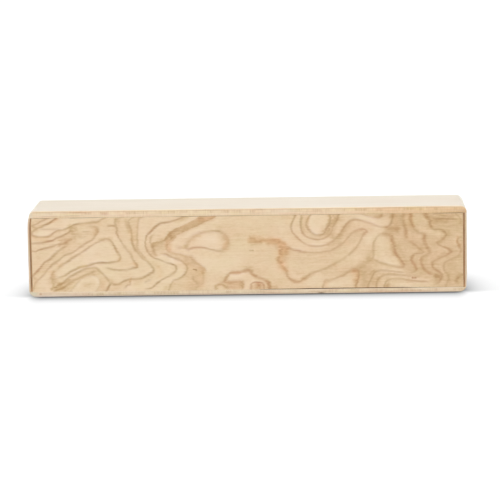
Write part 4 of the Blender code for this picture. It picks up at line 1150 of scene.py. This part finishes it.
def end_board(name, side, node, material):
    """An end board with a rebate for the panels' ends, front and back."""
    low, high = FLOOR + 0.02, CEILING - 0.02
    foot, head = CORNERS[side, False], min(HEIGHT - CORNERS[side, True], high - 0.4)
    levels = [low + (foot - low) * i / 8 for i in range(9)]
    levels += [foot + (12.0 - foot) * i / 10 for i in range(1, 11)]
    levels += [35.0 + (head - 35.0) * i / 12 for i in range(12)]
    levels += [head + (high - head) * i / 8 for i in range(9)]
    inner = HALF_L - END_T
    lip = HALF_L - END_LIP
    bm = bmesh.new()
    # each row of the board in plan: from the rebate round the outside to the other rebate
    plan = []
    steps = 4
    for z in levels:
        x_out = loop_x(z, side)
        row = [(inner, -SHELF), (lip, -SHELF), (lip, -HALF_D)]
        for i in range(steps + 1):
            a = math.pi / 2 * i / steps
            row.append((x_out - EDGE + EDGE * math.sin(a), -(HALF_D - EDGE + EDGE * math.cos(a))))
        back = [(x, -y) for x, y in reversed(row)]
        plan.append([bm.verts.new((side * x * MM, y * MM, z * MM)) for x, y in row + back])
    count = len(plan[0])
    for a, b in zip(plan[:-1], plan[1:]):
        for i in range(count):
            j = (i + 1) % count
            bm.faces.new((a[i], a[j], b[j], b[i]))
    bm.faces.new(list(reversed(plan[0])))
    bm.faces.new(plan[-1])
    return finish_board(name, bm, material, [node], lambda c, n: abs(c.x) < lip + 0.01 and n.y * c.y < 0.9 * abs(c.y))


# ---------------------------------------------------------------- panels

TOP_GAP = ([-123, -113, -110, -102, -100, -86, -82, -42, -38, -4, 2, 52, 80, 104, 111, 123],
           [0.17, 0.17, 0.09, 0.08, 0.22, 0.20, 0.09, 0.08, 0.18, 0.18, 0.12, 0.14, 0.08, 0.05, 0.24, 0.26])
FOOT_GAP = ([-123, -20, 6, 12, 30, 34, 58, 64, 88, 94, 102, 108, 123],
            [0.00, 0.00, 0.02, 0.26, 0.30, 0.41, 0.41, 0.36, 0.36, 0.17, 0.14, 0.06, 0.06])


def panel(name, node, sign, pitch, seed, material, warp=None):
    """A thin veneered panel; its outer face is a grid that holds the figure."""
    nx = int(round(2 * PANEL_HALF / pitch)) + 1
    nz = int(round((CEILING - FLOOR) / pitch)) + 1
    ease = 0.02
    xs = np.linspace(-PANEL_HALF + ease, PANEL_HALF - 0.1 - ease, nx)  # sits a touch to the left
    zs = np.linspace(FLOOR + 0.15, CEILING - 0.15, nz)
    fields = figure(xs, zs, seed, warp)
    view_x = -sign * xs  # x as seen by someone facing the panel
    top = CEILING - np.interp(view_x, *TOP_GAP)
    foot = FLOOR + np.interp(view_x, *FOOT_GAP)
    share = np.linspace(0, 1, nz)
    grid_x = np.repeat(xs[None, :], nz, 0)
    grid_z = (foot + ease)[None, :] * (1 - share)[:, None] + (top - ease)[None, :] * share[:, None]
    if sign > 0:  # the back panel is seen from the other side
        fields = {key: field[:, ::-1] for key, field in fields.items()}

    verts = np.stack([grid_x.ravel(), np.full(nx * nz, sign * PANEL_FACE), grid_z.ravel()], 1)
    index = np.arange(nx * nz).reshape(nz, nx)
    quads = np.stack([index[:-1, :-1], index[:-1, 1:], index[1:, 1:], index[1:, :-1]], -1).reshape(-1, 4)
    # round the border, then go straight in to the back
    border = np.concatenate([index[0, :-1], index[:-1, -1], index[-1, :0:-1], index[:0:-1, 0]])
    out = np.zeros((len(border), 2))
    bx, bz = verts[border, 0], verts[border, 2]
    lone, loff = np.isin(border, index[:, 0]), np.isin(border, index[:, -1])
    low, high = np.isin(border, index[0]), np.isin(border, index[-1])
    out[:, 0] = loff * 1.0 - lone * 1.0
    out[:, 1] = high * 1.0 - low * 1.0
    m = len(border)
    loops = [border]
    extra = []
    start = len(verts)
    for o, d in ((0.4, 0.08), (0.75, 0.32), (1.0, 1.0), (1.0, PANEL_T / ease)):
        p = np.stack([bx + out[:, 0] * o * ease, np.full(m, sign * (PANEL_FACE - d * ease)),
                      bz + out[:, 1] * o * ease], 1)
        extra.append(p)
        loops.append(np.arange(start, start + m))
        start += m
    walls = []
    for a, b in zip(loops[:-1], loops[1:]):
        walls.append(np.stack([a, b, np.roll(b, -1), np.roll(a, -1)], -1))
    walls = np.concatenate(walls)
    last = loops[-1]
    bottom = last[:nx]
    top_row = last[nx - 1 + nz - 1: nx - 1 + nz - 1 + nx][::-1]
    backs = np.stack([bottom[1:-2], top_row[1:-2], top_row[2:-1], bottom[2:-1]], -1)
    left_side = [int(bottom[1]), int(bottom[0])] + [int(v) for v in last[:-(nz - 1):-1]] + [int(top_row[0]), int(top_row[1])]
    right_side = [int(top_row[-2]), int(top_row[-1])] + [int(v) for v in last[nx - 1 + nz - 2: nx - 1: -1]] + [int(bottom[-1]), int(bottom[-2])]
    faces = [tuple(int(v) for v in q) for q in np.concatenate([quads, walls, backs])]
    faces += [tuple(left_side), tuple(right_side)]
    verts = np.concatenate([verts] + extra) * MM
    mesh = bpy.data.meshes.new(name)
    mesh.from_pydata(verts.tolist(), [], faces)
    mesh.validate()
    bm = bmesh.new()
    bm.from_mesh(mesh)
    bmesh.ops.recalc_face_normals(bm, faces=bm.faces)
    bm.to_mesh(mesh)
    bm.free()

    def wide(field):
        return np.concatenate([field.ravel()] + [field.ravel()[border]] * 4).astype(np.float32)

    # faces that look into the gaps, marked for painted shade in the material
    gap_shade = mesh.attributes.new("gap_shade", "FLOAT", "FACE")
    deep = np.zeros(len(mesh.polygons), np.float32)
    deep[len(quads) + 3 * m:] = 1.0
    gap_shade.data.foreach_set("value", deep)
    for key, field in fields.items():
        mesh.attributes.new(key, "FLOAT", "POINT").data.foreach_set("value", wide(field))
    draw_in(mesh)
    mesh.materials.append(material)
    mesh.shade_smooth()
    mesh.set_sharp_from_angle(angle=math.radians(50))
    obj = add_object(name, mesh)
    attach(obj, "shell")
    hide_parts(node)
    return obj


def gap_shade_bead(name, side, sign, seed, material):
    """A bead low in the gap between a panel's end and the end board's lip, brown as painted shade for the gap."""
    rng = np.random.default_rng(seed)
    low, high = FLOOR + 0.03, CEILING - 0.03
    rows, cols = 72, 7
    zs = np.linspace(low, high, rows)
    knots = np.linspace(low, high, 15)
    sink = np.interp(zs, knots, rng.uniform(0.85, 1.2, len(knots)))
    lean = np.interp(zs, knots, rng.uniform(-0.12, 0.12, len(knots)))
    sink[:3] = 0.08, 0.25, 0.60  # it has run out to the front at the foot
    lean[:3] = 0.0
    x0, x1 = PANEL_HALF + 0.02, HALF_L - END_LIP - 0.02
    bm = bmesh.new()
    loops = []
    for z, d, tilt in zip(zs, sink, lean):
        loop = []
        for i in range(cols):
            u = i / (cols - 1)
            dip = d + 0.28 * (1 - (2 * u - 1) ** 2) + tilt * (2 * u - 1)
            loop.append((x0 + (x1 - x0) * u, HALF_D - dip))
        loop += [(x1, SHELF + 0.4), (x0, SHELF + 0.4)]
        loops.append([bm.verts.new((side * x * MM, sign * y * MM, z * MM)) for x, y in loop])
    n = len(loops[0])
    for a, b in zip(loops[:-1], loops[1:]):
        for i in range(n):
            j = (i + 1) % n
            bm.faces.new((a[i], a[j], b[j], b[i]))
    bm.faces.new(list(reversed(loops[0])))
    bm.faces.new(loops[-1])
    bmesh.ops.recalc_face_normals(bm, faces=bm.faces)
    mesh = bpy.data.meshes.new(name)
    bm.to_mesh(mesh)
    bm.free()
    draw_in(mesh)
    mesh.materials.append(material)
    mesh.shade_smooth()
    mesh.set_sharp_from_angle(angle=math.radians(45))
    obj = add_object(name, mesh)
    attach(obj, "shell")
    return obj


# ---------------------------------------------------------------- shot

def shot(material):
    """Loose balls, each a little off round, one to each CAD body."""
    golden = (math.sqrt(5.0) - 1.0) / 2.0
    rng = np.random.default_rng(5)
    room = 2 * (HALF_L - END_T - 1.0)
    spread = 2 * (PANEL_BACK - 4.0 - SHOT_R)
    for i in range(SHOT_COUNT):
        bm = bmesh.new()
        bmesh.ops.create_icosphere(bm, subdivisions=3, radius=SHOT_R * MM)
        bumps = rng.normal(0, 1, (5, 3))
        for v in bm.verts:
            n = v.co.normalized()
            dent = sum(max(0.0, n.dot(Vector(b).normalized()) - 0.75) for b in bumps)
            v.co *= 1.0 - 0.02 * dent
        place = Vector((
            -room / 2 + (i + 0.5) * room / SHOT_COUNT,
            ((0.31 + i * golden) % 1.0 - 0.5) * spread,
            SHOT_Z,
        ))
        mesh = bpy.data.meshes.new(f"shot_ball_{i + 1:02d}")
        bm.to_mesh(mesh)
        bm.free()
        mesh.shade_smooth()
        mesh.materials.append(material)
        obj = add_object(mesh.name, mesh)
        obj.location = place * MM
        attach(obj, f"shot_{i + 1:02d}")
        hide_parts(f"shot_{i + 1:02d}")


# ---------------------------------------------------------------- studio

def studio():
    scene = bpy.context.scene
    scene.view_settings.view_transform = "Standard"
    scene.view_settings.look = "None"
    scene.view_settings.exposure = 0.0
    scene.view_settings.gamma = 1.0

    world = bpy.data.worlds.new("white_room")
    scene.world = world
    world.use_nodes = True
    back = world.node_tree.nodes["Background"]
    back.inputs["Color"].default_value = (1.0, 1.0, 1.0, 1.0)
    back.inputs["Strength"].default_value = 1.0
    world.cycles_visibility.diffuse = False  # seen and reflected; the lamps do the lighting

    bm = bmesh.new()
    bmesh.ops.create_grid(bm, x_segments=24, y_segments=24, size=9.0)
    mesh = bpy.data.meshes.new("floor")
    bm.to_mesh(mesh)
    bm.free()
    mesh.materials.append(floor_material())
    floor = add_object("floor", mesh)

    def soft(name, toward, angle, level, shadow=True):
        """A wide, even light from far off; level 1 shows a white surface as white."""
        data = bpy.data.lights.new(name, "SUN")
        data.use_shadow = shadow
        data.angle = math.radians(angle)
        data.energy = level * math.pi
        obj = bpy.data.objects.new(name, data)
        scene.collection.objects.link(obj)
        obj.rotation_mode = "QUATERNION"
        obj.rotation_quaternion = Vector(toward).to_track_quat("-Z", "Y")

    lean, rise = math.radians(11.0), math.radians(30.0)
    soft("overhead_bank", (0.0, -math.sin(lean), -math.cos(lean)), 34.0, 0.32)
    soft("front_fill", (0.0, math.cos(rise), -math.sin(rise)), 90.0, 0.54)
    # light that comes back evenly off white walls all round
    for name, toward, level in (("wall_above", (0, 0, -1), 0.50), ("wall_front", (0, 1, 0), 0.44), ("wall_back", (0, -1, 0), 0.66),
                                ("wall_left", (1, 0, 0), 0.60), ("wall_right", (-1, 0, 0), 0.66)):
        soft(name, toward, 20.0, level, shadow=False)

    data = bpy.data.cameras.new("camera")
    cam = bpy.data.objects.new("camera", data)
    scene.collection.objects.link(cam)
    yaw, pitch, roll = -0.02952, 0.14401, -0.01754
    target, reach, focal = Vector((1.00742, 0.0, 22.01256)), 1568.09196, 2711.03822
    ahead = Vector((math.sin(yaw) * math.cos(pitch), math.cos(yaw) * math.cos(pitch), -math.sin(pitch)))
    flat = Vector((math.cos(yaw), -math.sin(yaw), 0.0))
    over = flat.cross(ahead)
    right = math.cos(roll) * flat + math.sin(roll) * over
    up = -math.sin(roll) * flat + math.cos(roll) * over
    spot = (target - reach * ahead) * MM
    cam.matrix_world = Matrix((
        (right.x, up.x, -ahead.x, spot.x),
        (right.y, up.y, -ahead.y, spot.y),
        (right.z, up.z, -ahead.z, spot.z),
        (0.0, 0.0, 0.0, 1.0),
    ))
    data.sensor_width = 36.0
    data.lens = focal / 500.0 * 36.0
    data.clip_start, data.clip_end = 0.05, 100.0
    data.dof.use_dof = False
    scene.camera = cam


def main():
    brown, red = lin(120, 92, 62), lin(196, 140, 104)
    pale, tan = lin(240, 224, 200), lin(200, 172, 138)
    top_marks = [(-96.0, 48.4, 7.0, 0.5, 0.55, red), (-80.5, 47.6, 2.2, 1.0, 0.4, red), (-112.0, 46.4, 6.0, 0.3, 0.35, red),
                 (20.0, 47.7, 8.0, 0.8, 0.6, pale), (-115.0, 47.5, 7.0, 0.8, 0.5, pale), (-99.0, 46.7, 6.0, 0.4, 0.5, tan),
                 (-22.0, 48.9, 9.0, 0.5, 0.5, tan), (8.0, 48.8, 3.0, 0.5, 0.5, tan), (-104.0, 49.0, 8.0, 0.4, 0.4, tan),
                 (123.6, 46.5, 1.6, 0.8, 0.3, lin(190, 152, 118))]
    foot_marks = [(-110.0, 1.6, 14.0, 2.4, 0.5, lin(228, 201, 178)), (42.0, 0.35, 1.8, 0.5, 0.9, brown), (-111.0, 2.5, 3.0, 0.3, 0.4, red),
                  (84.0, 0.8, 12.0, 0.35, 0.35, red), (-103.0, 2.6, 18.0, 0.45, 0.6, pale), (-72.0, 2.7, 14.0, 0.4, 0.4, pale),
                  (98.0, 2.2, 5.0, 0.45, 0.7, pale), (115.0, 2.4, 8.0, 0.4, 0.5, pale), (-122.8, 1.9, 2.4, 1.6, 0.8, lin(216, 209, 184)),
                  # the pale mark low on the foot at x -113 is painted light, lifting the shade on the rounded foot edge
                  (-113.0, 0.5, 14.0, 0.6, 0.5, lin(246, 228, 206)), (40.0, 2.3, 7.0, 0.6, 0.55, pale),
                  (-118.5, 1.7, 0.7, 0.55, 0.75, lin(186, 132, 98))]
    # the tints below are painted light and shade: the top board's rims lighter, the bottom and end boards' rims darker
    long_board("top_board_ply", True, "top_board",
               ply_material("ply_top", "z", HEIGHT, -1.0, 1, right=1.0, tint=(1.05, 1.06, 1.09), marks=top_marks, turn_down_shade=1.0))
    long_board("bottom_board_ply", False, "bottom_board",
               ply_material("ply_bottom", "z", 0.0, 1.0, 2, tint=(0.95, 0.96, 1.0), marks=foot_marks))
    end_board("left_end_ply", -1, "left_end_board", ply_material("ply_left", "x", -HALF_L, 1.0, 3, tint=(0.90, 0.88, 0.92)))
    end_board("right_end_ply", 1, "right_end_board", ply_material("ply_right", "x", HALF_L, -1.0, 4, tint=(0.90, 0.90, 0.93)))
    glue_and_gap_shade = gap_shade_material()
    for sign, face in ((-1.0, "front"), (1.0, "back")):
        for side, end in ((-1, "left"), (1, "right")):
            gap_shade_bead(f"gap_bead_{face}_{end}", side, sign, 40 + 2 * (sign > 0) + (side > 0), glue_and_gap_shade)
    panel("front_panel_veneer", "front_panel", -1.0, 0.35, 11, veneer_material("figured_ash_front", 1))

    def sister(p):
        """The next leaf off the same flitch: the figure drifts a little."""
        q = np.array(p, float)
        q[:, 0] += 2.6 * np.sin(p[:, 1] * 0.11 + p[:, 0] * 0.031 + 0.6) + 1.2 * np.sin(p[:, 0] * 0.083)
        q[:, 1] += 1.3 * np.sin(p[:, 0] * 0.057 + 1.1) + 0.8 * np.sin(p[:, 0] * 0.121 + p[:, 1] * 0.09)
        return q

    panel("back_panel_veneer", "back_panel", 1.0, 0.5, 23, veneer_material("figured_ash_back", 2), sister)
    shot(steel_material())
    studio()


main()
